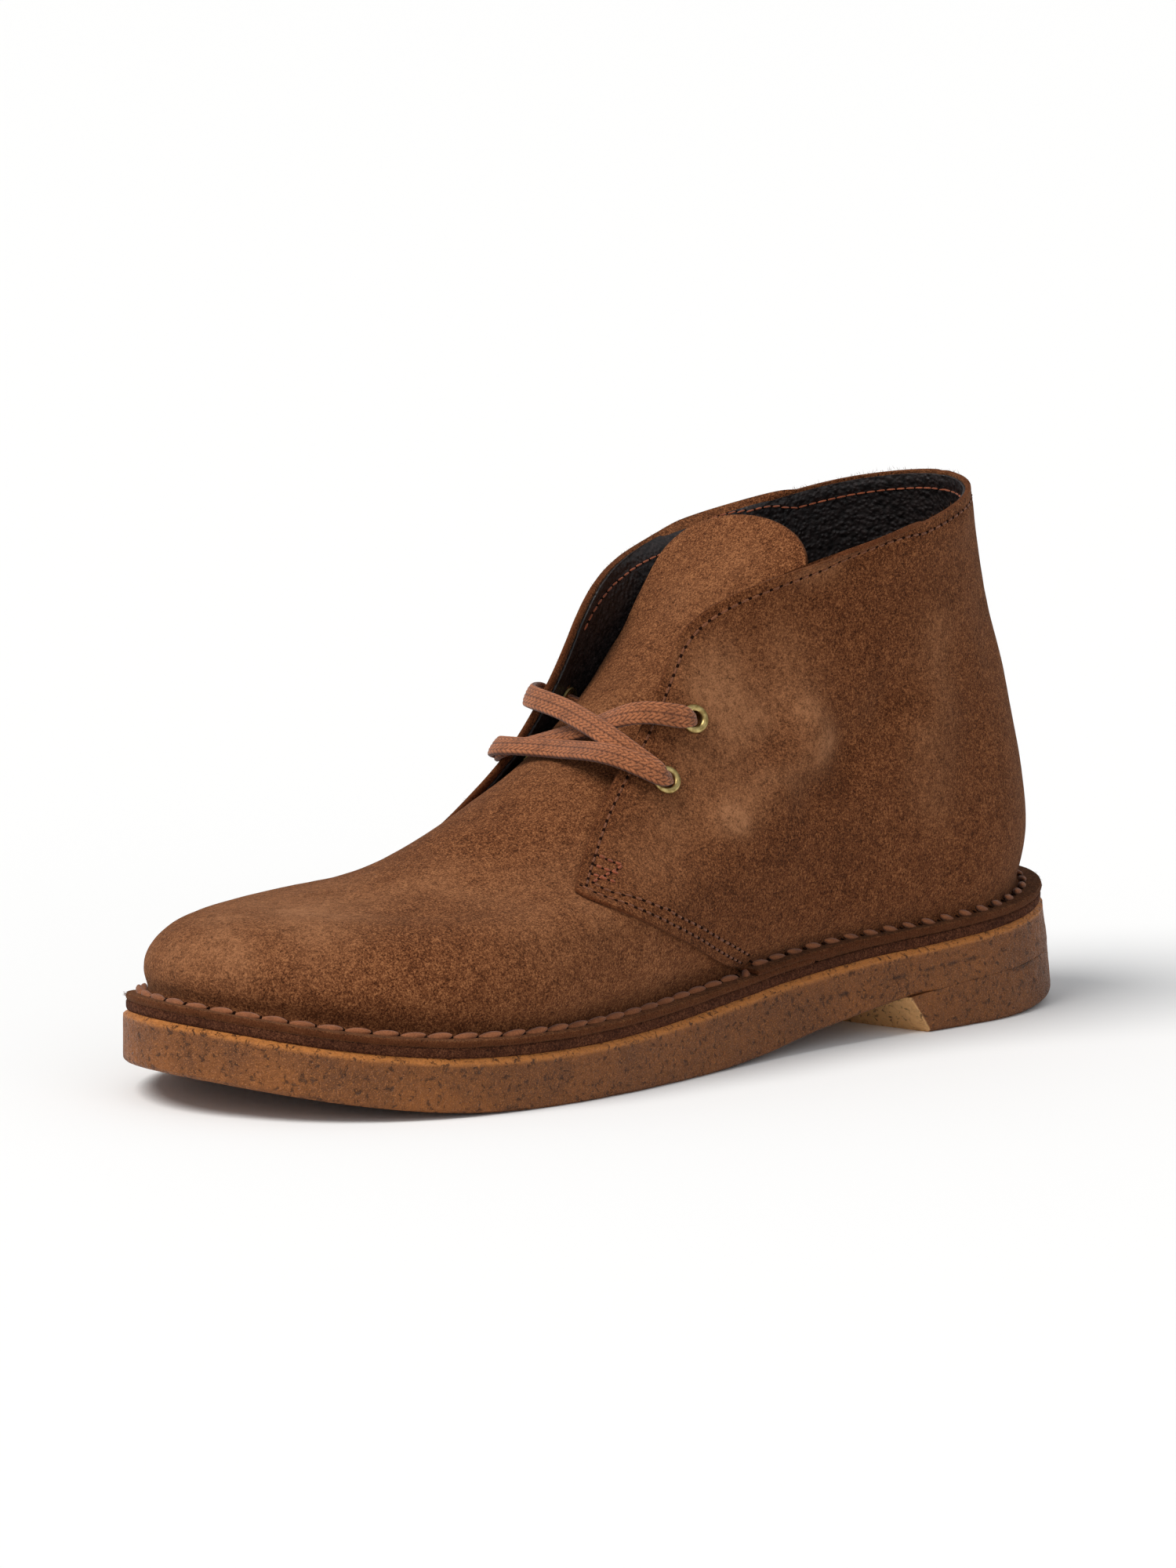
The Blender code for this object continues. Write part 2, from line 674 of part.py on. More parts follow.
def insole_row(inset, height):
    """The insole follows the inside of the upper's feather line."""
    angle = np.linspace(0, math.pi, SOLE_STATIONS + 1)
    share = 1 - angle / math.pi
    places = np.concatenate([share, -share[-2:0:-1]])
    line = last(0.0, places)
    along = last(0.0, places + 1e-3) - last(0.0, places - 1e-3)
    out = np.stack([along[:, 1], -along[:, 0]], -1)
    out = out / np.linalg.norm(out, axis=-1, keepdims=True)
    loop = line[:, :2] - out * inset
    return np.column_stack([loop, height(loop[:, 1])])


insole = stacked(
    "insole",
    [
        insole_row(INSOLE_INSET, flange_foot),
        insole_row(INSOLE_INSET, lambda y: flange_foot(y) + INSOLE_THICKNESS - 0.0006),
        insole_row(INSOLE_INSET + 0.0008, lambda y: flange_foot(y) + INSOLE_THICKNESS),
    ],
    LINING,
    0.8,
)

# Vamp: the wall round the toe, from under one quarter to under the other.
levels = np.array(VAMP_LEVELS)[::-1]
across = np.sin(np.linspace(-math.pi / 2, math.pi / 2, VAMP_COLUMNS)) * 0.25
across = across + np.linspace(-0.75, 0.75, VAMP_COLUMNS)
places = np.array([curve(VAMP_SIDE[:, 0], VAMP_SIDE[:, 1], w) * across for w in levels])
grid = np.repeat(levels[:, None], VAMP_COLUMNS, 1)
normal = last_normal(grid, places)
outer = last(grid, places)
inner = outer - normal * VAMP_WALL
edge = flange_edge(places[-1], FLANGE_INSET + 0.0003)
section = wall_section(outer, inner, edge, lambda y: flange_foot(y) + 0.00015, feather)
upper = tube("upper", section, wall_strips(len(levels)), SUEDE, 0.95)

# Quarters: one wall from the outer facing round the heel to the inner facing.
levels = np.array(QUARTER_LEVELS)[::-1]
turn = np.linspace(0, 1, AROUND)
turn = turn + 0.028 * np.sin(2 * math.pi * turn) * -1
start = facing_place(levels, 1)[:, None]
finish = 2 - facing_place(levels, -1)[:, None]
places = start + (finish - start) * turn
grid = np.repeat(levels[:, None], AROUND, 1)
outer = quarter(grid, places)
inner = quarter(grid, places, QUARTER_WALL)
edge = flange_edge(places[-1], FLANGE_INSET)
section = wall_section(outer, inner, edge, flange_foot, lambda y: feather(y) + 0.0003)
quarters = tube("quarters", section, wall_strips(len(levels)), SUEDE, 0.95, hidden=True)
apply_boolean(upper, quarters, "UNION")


def quarter_normal(level, place):
    """Outward normal of a quarter's outer face, its stand-off included."""
    step = 4e-3
    level = np.array(level)
    place = np.array(place)
    up = quarter(level + step, place) - quarter(level - step, place)
    along = quarter(level, place + step) - quarter(level, place - step)
    normal = np.cross(along, up)
    return normal / np.linalg.norm(normal)


# Eyelets: a brass ring on the face, a barrel through the wall and a small lip behind it.
RING = EYELET_RADIUS
SEAT = FIT + 0.00025
eyelet_profile = [
    (EYELET_BORE, 0.0008),
    (EYELET_BORE + 0.0006, 0.0013),
    (RING - 0.0008, 0.0013),
    (RING, 0.0008),
    (RING, SEAT),
    (BARREL_RADIUS, SEAT),
    (BARREL_RADIUS, -QUARTER_WALL - SEAT),
    (BARREL_RADIUS + 0.0009, -QUARTER_WALL - SEAT),
    (BARREL_RADIUS + 0.0008, -QUARTER_WALL - SEAT - 0.0006),
    (EYELET_BORE, -QUARTER_WALL - SEAT - 0.0006),
]
for side_name, side in (("lateral", 1), ("medial", -1)):
    for row_name, (level, place) in EYELETS.items():
        centre = quarter(np.array(level), np.array(place * side))
        axis = quarter_normal(level, place * side)
        hole = plug("hole", BARREL_RADIUS + BARREL_CLEARANCE, 0.006, centre, axis, EYELET_STEPS)
        apply_boolean(upper, hole, "DIFFERENCE")
        name = "eyelet_" + side_name + "_" + row_name
        turned(name, eyelet_profile, centre, axis, EYELET_STEPS, BRASS, 0.3)

# Tongue: a flap with a round top, level with the vamp's face at the throat.
across = np.sin(np.linspace(-math.pi / 2, math.pi / 2, 15))
rise = np.array([0.0, 0.05, 0.11, 0.19, 0.28, 0.38, 0.48, 0.58, 0.68, 0.78, 0.87, 0.94, 1.0])
top = 1 - TONGUE_ROUND * (1 - np.sqrt(np.clip(1 - across**2, 0, 1)))
along = rise[::-1][:, None] * top
side = np.repeat(across[None], len(rise), 0)
face = tongue(along, side)
back = tongue(along, side, TONGUE_WALL)
section = np.stack(list(face) + list(back[::-1]), 1)
count = 2 * len(rise)
strips = [(k, k + 1, count - k - 2, count - k - 1) for k in range(len(rise) - 1)]
tube("tongue", section, strips, SUEDE, 0.95)


LACE_LEAD = 0.42  # how far a strand keeps its way off the facing before it turns, of its span
OVER_EYELET = 0.0013 + FIT + LACE_THICKNESS / 2 + 0.0002
LACE_STEP = LACE_THICKNESS * 0.8


def lace_end(row, side, layer):
    """Where a strand meets its eyelet, the face's normal there and the way off the facing's
    edge; layer counts the strands below it."""
    level, place = EYELETS[row]
    normal = quarter_normal(level, place * side)
    level, place = np.array(level), np.array(place * side)
    point = quarter(level, place) + normal * (OVER_EYELET + layer * LACE_STEP)
    off = quarter(level, place - 0.01 * side) - quarter(level, place)
    return point, normal, off / np.linalg.norm(off)


def strand(name, start, end, rise, hidden):
    """A flat woven strand that leaves both eyelets along the quarters' faces and bridges the
    tongue in one arch; rise tips its ends up off the faces. Its ends are squared off."""
    t = np.linspace(0, 1, LACE_STEPS)[:, None]
    span = np.linalg.norm(end[0] - start[0]) * LACE_LEAD
    first = start[0] + (start[2] + start[1] * rise[0]) * span
    second = end[0] + (end[2] + end[1] * rise[1]) * span
    path = start[0] * (1 - t) ** 3 + 3 * first * t * (1 - t) ** 2
    path = path + 3 * second * t**2 * (1 - t) + end[0] * t**3
    face = start[1] * (1 - t) + end[1] * t
    ahead = np.gradient(path, axis=0)
    ahead = ahead / np.linalg.norm(ahead, axis=1, keepdims=True)
    face = face - ahead * (face * ahead).sum(1, keepdims=True)
    face = face / np.linalg.norm(face, axis=1, keepdims=True)
    side = np.cross(ahead, face)
    half = LACE_WIDTH / 2
    thick = LACE_THICKNESS / 2
    ring = ((-half, 0), (0.0007 - half, thick), (half - 0.0007, thick))
    ring = ring + ((half, 0), (half - 0.0007, -thick), (0.0007 - half, -thick))
    section = np.stack([path + side * a + face * b for a, b in ring], 1)
    return tube(name, section, [(0, 1, 4, 5), (1, 2, 3, 4)], WOVEN, 0.9, hidden)


lace = strand("lace", lace_end("lower", 1, 0), lace_end("lower", -1, 0), (0.40, 0.40), False)
crossings = [
    (lace_end("upper", 1, 0), lace_end("lower", -1, 1), (0.46, 0.40)),
    (lace_end("lower", 1, 1), lace_end("upper", -1, 0), (0.50, 0.52)),
]
for start, end, rise in crossings:
    apply_boolean(lace, strand("crossing", start, end, rise, True), "UNION")
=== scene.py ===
# %% [markdown]
# # A suede desert boot, dressed over its CAD frame
# This lesson builds the looks of a left desert boot around solids that are already packed. The
# real boot is stitchdown made: the suede upper turns outwards at its foot, lies on a thin leather
# midsole, and one chunky seam sews all of it to a crepe sole. We load the frame first.

# %% Load the frame
import math

import bpy
import mathutils
import numpy as np
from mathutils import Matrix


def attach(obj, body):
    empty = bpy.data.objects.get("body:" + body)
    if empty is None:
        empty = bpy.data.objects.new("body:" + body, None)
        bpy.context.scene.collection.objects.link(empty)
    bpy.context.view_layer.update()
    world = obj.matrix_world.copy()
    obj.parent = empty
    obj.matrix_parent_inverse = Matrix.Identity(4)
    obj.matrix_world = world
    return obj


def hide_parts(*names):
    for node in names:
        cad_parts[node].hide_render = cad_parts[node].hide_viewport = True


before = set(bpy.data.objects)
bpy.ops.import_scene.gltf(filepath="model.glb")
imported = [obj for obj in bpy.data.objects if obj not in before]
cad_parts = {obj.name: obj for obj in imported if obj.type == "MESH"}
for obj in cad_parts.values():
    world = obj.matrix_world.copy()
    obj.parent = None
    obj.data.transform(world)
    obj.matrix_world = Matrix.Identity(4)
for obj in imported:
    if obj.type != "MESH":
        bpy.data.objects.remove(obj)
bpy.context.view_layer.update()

# %% [markdown]
# ## The boot's own sizes
# Every surface below is worked out from the same sizes and short tables as the solids: a plan
# outline for the sole, a side view of it, and level loops for the upper. Working from sizes
# rather than from the solids' triangles lets us ask for any point of the suede, as finely as a
# stitch needs.

# %% Sizes, in metres
SOLE_LENGTH = 0.300
BALL_WIDTH = 0.108
HEEL_WIDTH = 0.076
COLLAR_HEIGHT = 0.146
SOLE_HEIGHT = 0.029  # top of the crepe at the very back of the heel
CREPE_SPREAD = 0.0026  # how far the crepe's side leans out at the foot of the heel
CREPE_BEVEL = 0.0012
HEEL_SHARE = 0.232  # where the breast meets the outer side, from the heel end
BREAST_SLANT = 0.065  # how much further forward the breast ends on the inner side
BREAST_LEAN = 0.022  # how much further forward the breast's top is than its foot
MIDSOLE_THICKNESS = 0.0023
MIDSOLE_INSET = 0.0007
INSOLE_INSET = 0.0027
QUARTER_WALL = 0.0022
QUARTER_SINK = 0.0007  # how deep the quarter's wall reaches into the vamp's, so that the two join
FLANGE_THICKNESS = 0.0020
FLANGE_INSET = 0.0008
STAND_OFF_OUTER = 0.0036  # how far the outer facing stands off the vamp and the tongue
STAND_OFF_INNER = 0.0062
TONGUE_WIDTH = 0.053
TONGUE_ROUND = 0.16
TONGUE_TWIST = 0.13  # its outer edge falls back by this share of the half width
EYELET_BORE = 0.0019
BARREL_RADIUS = 0.00235
LACE_WIDTH = 0.0062
LACE_THICKNESS = 0.0015
FIT = 0.0003  # gap left between neighbours
SIDE_SCALE = np.array([SOLE_LENGTH, COLLAR_HEIGHT])  # what y and z of a side-view table are shares of
print("sole", SOLE_LENGTH, "m long, collar", COLLAR_HEIGHT, "m high")

# %% Tables of the sole
# Sole's outline. share: of SOLE_LENGTH from the heel end. centre: of BALL_WIDTH, outwards.
# half: half width, of the width that heel and ball give at that share (see width_at).
OUTLINE = np.array([
    # share, centre,  half
    (0.020, 0.0000, 0.2345),
    (0.060, 0.0000, 0.3808),
    (0.120, 0.0010, 0.4675),
    (0.200, 0.0040, 0.4917),
    (0.300, 0.0135, 0.4608),
    (0.400, 0.0300, 0.4208),
    (0.500, 0.0450, 0.4187),
    (0.600, 0.0375, 0.4514),
    (0.680, 0.0190, 0.4817),
    (0.760, 0.0000, 0.4950),
    (0.840, -0.0185, 0.4685),
    (0.910, -0.0350, 0.3850),
    (0.960, -0.0515, 0.2665),
    (0.985, -0.0640, 0.1590),
])

# Sole from the side: heights as shares of SOLE_HEIGHT.
# crepe: top of the crepe. ground: its foot where it is the lowest piece, with arch and toe spring.
SIDE = np.array([
    # share, crepe, ground
    (0.00, 1.000, 0.145),
    (0.06, 0.924, 0.045),
    (0.12, 0.862, 0.003),
    (0.16, 0.832, 0.000),
    (0.22, 0.800, 0.000),
    (0.30, 0.759, 0.000),
    (0.40, 0.676, 0.000),
    (0.50, 0.586, 0.000),
    (0.60, 0.517, 0.000),
    (0.74, 0.495, 0.000),
    (0.82, 0.530, 0.045),
    (0.90, 0.628, 0.155),
    (1.00, 0.828, 0.362),
])
# Foot of the outsole, which leaves the ground at the ball and meets the heel lift behind the arch.
ARCH = np.array([
    # share, foot
    (0.00, 0.550),
    (0.10, 0.470),
    (0.20, 0.405),
    (0.25, 0.355),
    (0.30, 0.280),
    (0.36, 0.190),
    (0.43, 0.070),
    (0.50, 0.008),
    (0.56, 0.000),
    (0.61, 0.000),
    (0.74, 0.000),
    (0.82, 0.045),
    (0.90, 0.155),
    (1.00, 0.362),
])
print(len(OUTLINE), "stations of the outline,", len(SIDE), "heights of the side")

# %% Tables of the upper and the tongue
# The upper's front edge in side view, up the toe, along the vamp and up the instep.
FRONT = np.array([
    # level, y of SOLE_LENGTH, z of COLLAR_HEIGHT
    (0.00, -0.4700, 0.199),
    (0.06, -0.4750, 0.240),
    (0.12, -0.4683, 0.281),
    (0.18, -0.4483, 0.315),
    (0.25, -0.4067, 0.334),
    (0.33, -0.3467, 0.337),
    (0.42, -0.2767, 0.358),
    (0.52, -0.2000, 0.412),
    (0.62, -0.1300, 0.490),
    (0.74, -0.0633, 0.616),
    (0.87, -0.0133, 0.730),
    (1.00, 0.0200, 0.829),
])
# Its back edge, up the heel to the collar.
BACK = np.array([
    # level, y of SOLE_LENGTH, z of COLLAR_HEIGHT
    (0.00, 0.4667, 0.233),
    (0.15, 0.4770, 0.336),
    (0.30, 0.4690, 0.445),
    (0.50, 0.4470, 0.610),
    (0.75, 0.4190, 0.808),
    (1.00, 0.4000, 1.000),
])
# Half widths of each level loop, one row a level; the columns are stations along the loop, as
# shares of the way from its back to its front. Shares of width_at that station.
STATIONS = np.array([0.03, 0.10, 0.22, 0.36, 0.50, 0.64, 0.76, 0.87, 0.96])
OUTER_SIDE = np.array([
    # level, then the nine stations
    (0.00, 0.230, 0.382, 0.420, 0.382, 0.382, 0.422, 0.440, 0.370, 0.204),
    (0.08, 0.237, 0.408, 0.466, 0.436, 0.429, 0.464, 0.477, 0.398, 0.218),
    (0.18, 0.243, 0.414, 0.479, 0.454, 0.439, 0.450, 0.449, 0.366, 0.199),
    (0.32, 0.237, 0.395, 0.466, 0.448, 0.419, 0.398, 0.370, 0.292, 0.162),
    (0.50, 0.211, 0.355, 0.427, 0.412, 0.367, 0.323, 0.287, 0.222, 0.125),
    (0.70, 0.184, 0.316, 0.394, 0.382, 0.326, 0.267, 0.227, 0.171, 0.097),
    (1.00, 0.158, 0.283, 0.374, 0.376, 0.320, 0.262, 0.222, 0.167, 0.093),
])
INNER_SIDE = np.array([
    # level, then the nine stations
    (0.00, 0.230, 0.375, 0.401, 0.340, 0.284, 0.337, 0.403, 0.394, 0.259),
    (0.08, 0.237, 0.401, 0.446, 0.382, 0.331, 0.389, 0.444, 0.421, 0.273),
    (0.18, 0.243, 0.408, 0.460, 0.406, 0.362, 0.394, 0.421, 0.384, 0.241),
    (0.32, 0.237, 0.395, 0.453, 0.412, 0.367, 0.361, 0.352, 0.301, 0.171),
    (0.50, 0.211, 0.355, 0.427, 0.400, 0.346, 0.309, 0.282, 0.222, 0.125),
    (0.70, 0.184, 0.316, 0.394, 0.382, 0.326, 0.267, 0.227, 0.171, 0.097),
    (1.00, 0.158, 0.283, 0.374, 0.376, 0.320, 0.262, 0.222, 0.167, 0.093),
])
INNER_CORNER_SHIFT = 0.022
TOE_SWING = 0.065  # how far the toe swings towards the big toe, of BALL_WIDTH

# Front edge of a quarter: seam on the vamp up to its lower front corner, then the free facing,
# then the rounded top corner. place: round the loop, 0 at the front, 1 at the back.
FACING = np.array([
    # level, place
    (0.000, 0.535),
    (0.050, 0.508),
    (0.100, 0.480),
    (0.190, 0.422),
    (0.270, 0.368),
    (0.353, 0.315),
    (0.460, 0.283),
    (0.550, 0.255),
    (0.630, 0.236),
    (0.730, 0.224),
    (0.830, 0.208),
    (0.885, 0.203),
    (0.925, 0.218),
    (0.955, 0.248),
    (0.978, 0.296),
    (0.992, 0.355),
    (1.000, 0.420),
])
LOWER_CORNER = 0.353  # level of the quarter's lower front corner
# Side edge of the vamp, hidden under the quarter.
VAMP_SIDE = np.array([
    # level, place
    (0.000, 0.585),
    (0.100, 0.530),
    (0.190, 0.472),
    (0.270, 0.418),
    (0.353, 0.368),
    (0.450, 0.325),
    (0.550, 0.298),
])
THROAT_LEVEL = 0.553  # where the tongue starts, just above the vamp's top edge
THROAT_PLACE = 0.287

# The tongue's middle line, from the throat to its top, and how much its sides fall back.
TONGUE = np.array([
    # along, y of SOLE_LENGTH, z of COLLAR_HEIGHT, curl (1/m), width of TONGUE_WIDTH
    (0.00, -0.1790, 0.4340, 50.0, 0.86),
    (0.13, -0.1390, 0.4720, 46.0, 0.85),
    (0.26, -0.0980, 0.5120, 38.0, 0.81),
    (0.38, -0.0500, 0.5630, 29.0, 0.81),
    (0.52, 0.0030, 0.6340, 23.0, 0.84),
    (0.68, 0.0600, 0.7320, 15.0, 0.90),
    (0.84, 0.1150, 0.8470, 9.0, 0.96),
    (1.00, 0.1630, 0.9560, 6.0, 1.00),
])
# Eyelet centres on each quarter, by level and place.
EYELETS = {"upper": (0.699, 0.304), "lower": (0.589, 0.314)}
print(len(FACING), "points of the facing,", len(EYELETS), "eyelets a side")

# %% [markdown]
# ## Curves and forms
# A cubic curve through table rows gives smooth edges from few numbers. The last, the wooden foot
# that a boot is pulled over, is the form that the vamp, quarters and tongue all hang on, so one
# function of level and place serves them all.

# %% Smooth curves
def unit(vectors):
    """Vectors divided by their length."""
    return vectors / np.maximum(np.linalg.norm(vectors, axis=-1, keepdims=True), 1e-12)


def wrapped(place):
    """A place brought back to -1..1 by whole turns, so that a line may run past the back."""
    return (place + 1) % 2 - 1


def interval(xs, x):
    """Index of the gap of xs that holds x, its length, and x's share of it."""
    x = np.clip(x, xs[0], xs[-1])
    i = np.clip(np.searchsorted(xs, x) - 1, 0, len(xs) - 2)
    step = xs[i + 1] - xs[i]
    return i, step, (x - xs[i]) / step


def cubic(t, step, values, slopes):
    """A cubic piece over t from 0 to 1: each end's value and slope, times their own blends."""
    low = 2 * t**3 - 3 * t**2 + 1
    rise = (t**3 - 2 * t**2 + t) * step * slopes[0]
    fall = (t**3 - t**2) * step * slopes[1]
    return low * values[0] + rise + (1 - low) * values[1] + fall


def curve(xs, ys, x):
    """Smooth curve through points: cubic pieces that share the mean slope at each point."""
    xs, ys = np.asarray(xs, float), np.asarray(ys, float)
    slopes = np.gradient(ys, xs, axis=0)
    i, step, t = interval(xs, x)
    if ys.ndim > 1:
        step, t = step[..., None], t[..., None]
    return cubic(t, step, (ys[i], ys[i + 1]), (slopes[i], slopes[i + 1]))


def smooth(x, start, end):
    """0 before start, 1 after end, and an even S between."""
    t = np.clip((x - start) / (end - start), 0, 1)
    return t * t * (3 - 2 * t)


print("half way through an S:", smooth(0.5, 0, 1))

# %% The sole's edge and heights
def width_at(share):
    """HEEL_WIDTH over the back fifth, BALL_WIDTH over the front third, and an even S between."""
    return HEEL_WIDTH + (BALL_WIDTH - HEEL_WIDTH) * smooth(share, 0.2, 0.7)


def outline(angle, side, offset=0.0):
    """Plan point (x, y) of the sole's edge, moved outwards by offset. angle runs from 0 at the
    heel end to pi at the toe end, and the half width is its sine times a smooth factor, so both
    ends are round."""
    def edge(angle):
        """The edge itself: middle line, plus or minus the half width."""
        share = (1 - np.cos(angle)) / 2
        stations = np.arccos(1 - 2 * OUTLINE[:, 0])
        factor = OUTLINE[:, 2] * width_at(OUTLINE[:, 0]) / np.sin(stations)
        middle = curve(OUTLINE[:, 0], OUTLINE[:, 1], share) * BALL_WIDTH
        x = middle + side * np.sin(angle) * curve(stations, factor, angle)
        return np.stack([x, SOLE_LENGTH * (0.5 - share)], -1)

    step = 1e-3
    along = edge(angle + step) - edge(angle - step)
    out = np.stack([-along[..., 1], along[..., 0]], -1) * side
    return edge(angle) + unit(out) * offset


def share_of(y):
    """Share of the sole's length from the heel end."""
    return 0.5 - y / SOLE_LENGTH


def crepe_top(y):
    """Height of the crepe's top: the side table times SOLE_HEIGHT."""
    return curve(SIDE[:, 0], SIDE[:, 1], share_of(y)) * SOLE_HEIGHT


def ground(y):
    """Height of the lowest crepe, held at or above the floor."""
    return np.maximum(curve(SIDE[:, 0], SIDE[:, 2], share_of(y)), 0) * SOLE_HEIGHT


def outsole_foot(y):
    """Height of the outsole's foot, over the heel lift and the arch."""
    return np.maximum(curve(ARCH[:, 0], ARCH[:, 1], share_of(y)), 0) * SOLE_HEIGHT


def midsole_top(y):
    """The crepe's top plus a gap plus the midsole."""
    return crepe_top(y) + FIT + MIDSOLE_THICKNESS


def flange_foot(y):
    """The midsole's top plus a gap."""
    return midsole_top(y) + FIT


def feather(y):
    """Height of the line where the upper's wall meets its flange."""
    return flange_foot(y) + FLANGE_THICKNESS


def spread(y):
    """How far the crepe's foot leans out: most at the heel, nothing at the toe."""
    return CREPE_SPREAD * (1 - smooth(share_of(y), 0.35, 0.95))


def flange_edge(place, inset):
    """Where the flange ends, at each place round the foot: the sole's outline less the inset."""
    place = wrapped(place)
    angle = math.pi * (1 - np.abs(place))
    outer = outline(angle, 1, -inset)
    inner = outline(angle, -1, -inset)
    plan = np.where((place >= 0)[:, None], outer, inner)
    return np.column_stack([plan, 0 * plan[:, 0]])


print("feather line", round(float(feather(0.0)) * 1000, 1), "mm up at mid length")

# %% The last
def half_width(table, level, angle):
    """Half width of a level loop: the table read smoothly by level, then by angle round it."""
    rows = table[:, 1:] * width_at(STATIONS) / np.sqrt(4 * STATIONS * (1 - STATIONS))
    value = np.moveaxis(curve(table[:, 0], rows, level), -1, 0)
    stations = np.arccos(1 - 2 * STATIONS)
    slopes = np.gradient(value, stations, axis=0)
    i, step, t = interval(stations, angle)
    ends = [[np.take_along_axis(rows, at[None], 0)[0] for at in (i, i + 1)] for rows in (value, slopes)]
    return cubic(t, step, *ends) * np.sin(angle)


def last(level, place):
    """The vamp's outer face, and the form all of the upper hangs on. place runs round the level
    loop: 0 at the front, 1 at the back by the outer side, -1 at the back by the inner side. Each
    loop runs evenly from its front point to its back point in side view, and level 0 follows
    the feather line of the sole."""
    level, place = np.broadcast_arrays(np.asarray(level, float), np.asarray(place, float))
    place = wrapped(place)
    angle = math.pi * (1 - np.abs(place))
    share = (1 - np.cos(angle)) / 2
    front = curve(FRONT[:, 0], FRONT[:, 1:], level) * SIDE_SCALE
    back = curve(BACK[:, 0], BACK[:, 1:], level) * SIDE_SCALE
    y = back[..., 0] + (front[..., 0] - back[..., 0]) * share
    z = back[..., 1] + (front[..., 1] - back[..., 1]) * share
    foot_front, foot_back = FRONT[0, 1:] * SIDE_SCALE, BACK[0, 1:] * SIDE_SCALE
    foot_y = foot_back[0] + (foot_front[0] - foot_back[0]) * share
    foot_z = foot_back[1] + (foot_front[1] - foot_back[1]) * share
    z = z + (feather(foot_y) - foot_z) * np.clip(1 - level / 0.75, 0, 1) ** 2
    outer = half_width(OUTER_SIDE, level, angle)
    inner = half_width(INNER_SIDE, level, angle)
    x = np.where(place >= 0, outer, -inner)
    swing = np.clip((-y / SOLE_LENGTH - 0.2) / 0.28, 0, 1) ** 1.6
    x = x - TOE_SWING * BALL_WIDTH * swing
    return np.stack([x, y, z], -1)


def last_normal(level, place):
    """Outward normal of the last, from small steps both ways. It turns level towards the feather
    line, so that walls of any thickness meet the flange side by side."""
    level, place = np.broadcast_arrays(np.asarray(level, float), np.asarray(place, float))
    step = 2e-3
    up = last(np.minimum(level + step, 1), place) - last(np.maximum(level - step, 0), place)
    along = last(level, place + step) - last(level, place - step)
    normal = unit(np.cross(along, up))
    normal[..., 2] = normal[..., 2] * smooth(level, -0.02, 0.12)
    return unit(normal)


print("top of the heel at", last(1.0, 1.0).round(4))

# %% Quarters and tongue
def facing_place(level, side=1):
    """Front edge of a quarter: a smooth seam below its lower front corner and a smooth facing
    above it, so that only the corner is sharp. The inner corner sits further round the foot."""
    low, high = FACING[FACING[:, 0] <= LOWER_CORNER], FACING[FACING[:, 0] >= LOWER_CORNER]
    level = np.asarray(level, float)
    seam = curve(low[:, 0], low[:, 1], np.minimum(level, LOWER_CORNER))
    free = curve(high[:, 0], high[:, 1], np.maximum(level, LOWER_CORNER))
    back = INNER_CORNER_SHIFT * smooth(level, 0.1, LOWER_CORNER) * (1 - smooth(level, 0.4, 0.62))
    return np.where(level < LOWER_CORNER, seam, free) + np.where(np.asarray(side) < 0, back, 0)


def stand_off(level, place):
    """How far a quarter stands off the last: nothing at its seam, most along the facing."""
    place = wrapped(place)
    most = np.where(place >= 0, STAND_OFF_OUTER, STAND_OFF_INNER)
    reach = np.where(place >= 0, 0.20, 0.26)
    from_edge = (np.abs(place) - facing_place(level, place)) / reach
    height = np.where(place >= 0, smooth(level, 0.38, 0.66), smooth(level, 0.40, 0.95))
    return most * height * (1 - smooth(from_edge, 0, 1))


def quarter(level, place, depth=0.0):
    """Point of a quarter, depth below its outer face."""
    out = QUARTER_WALL - QUARTER_SINK - depth + stand_off(level, place)
    return last(level, place) + last_normal(level, place) * out[..., None]


def tongue(along, across, depth=0.0):
    """Point of the tongue. along: 0 at the throat, 1 at the top; across: -1 to 1. At the throat
    it has the vamp's own form; further up it flattens about its middle line."""
    def face(along, across):
        """The outer face: the middle line plus the throat's form, blended into the tongue's own."""
        middle = curve(TONGUE[:, 0], TONGUE[:, 1:3], along) * SIDE_SCALE
        curl = curve(TONGUE[:, 0], TONGUE[:, 3], along)
        share = smooth(along, 0, 0.45)
        throat = last(np.full_like(across, THROAT_LEVEL), across * THROAT_PLACE)
        centre = last(np.full_like(across, THROAT_LEVEL), np.zeros_like(across))
        from_throat = throat - centre
        x = across * TONGUE_WIDTH / 2 * curve(TONGUE[:, 0], TONGUE[:, 4], along)
        own = np.stack([x, curl * x**2 + TONGUE_TWIST * x, 0 * x], -1)
        shape = from_throat + (own - from_throat) * share[..., None]
        start = centre[..., 1:] - TONGUE[0, 1:3] * SIDE_SCALE
        middle = middle + start * (1 - smooth(along, 0, 0.3))[..., None]
        spine = np.concatenate([np.zeros_like(x)[..., None], middle], -1)
        return spine + shape

    along, across = np.broadcast_arrays(np.asarray(along, float), np.asarray(across, float))
    step = 1e-3
    up = face(np.minimum(along + step, 1), across) - face(np.maximum(along - step, 0), across)
    side = face(along, across + step) - face(along, across - step)
    at_throat = last_normal(np.full_like(across, THROAT_LEVEL), across * THROAT_PLACE)
    share = smooth(along, 0, 0.12)[..., None]
    normal = at_throat * (1 - share) + unit(np.cross(side, up)) * share
    return face(along, across) - normal * depth


print("tongue's top at", tongue(1.0, 0.0).round(4))

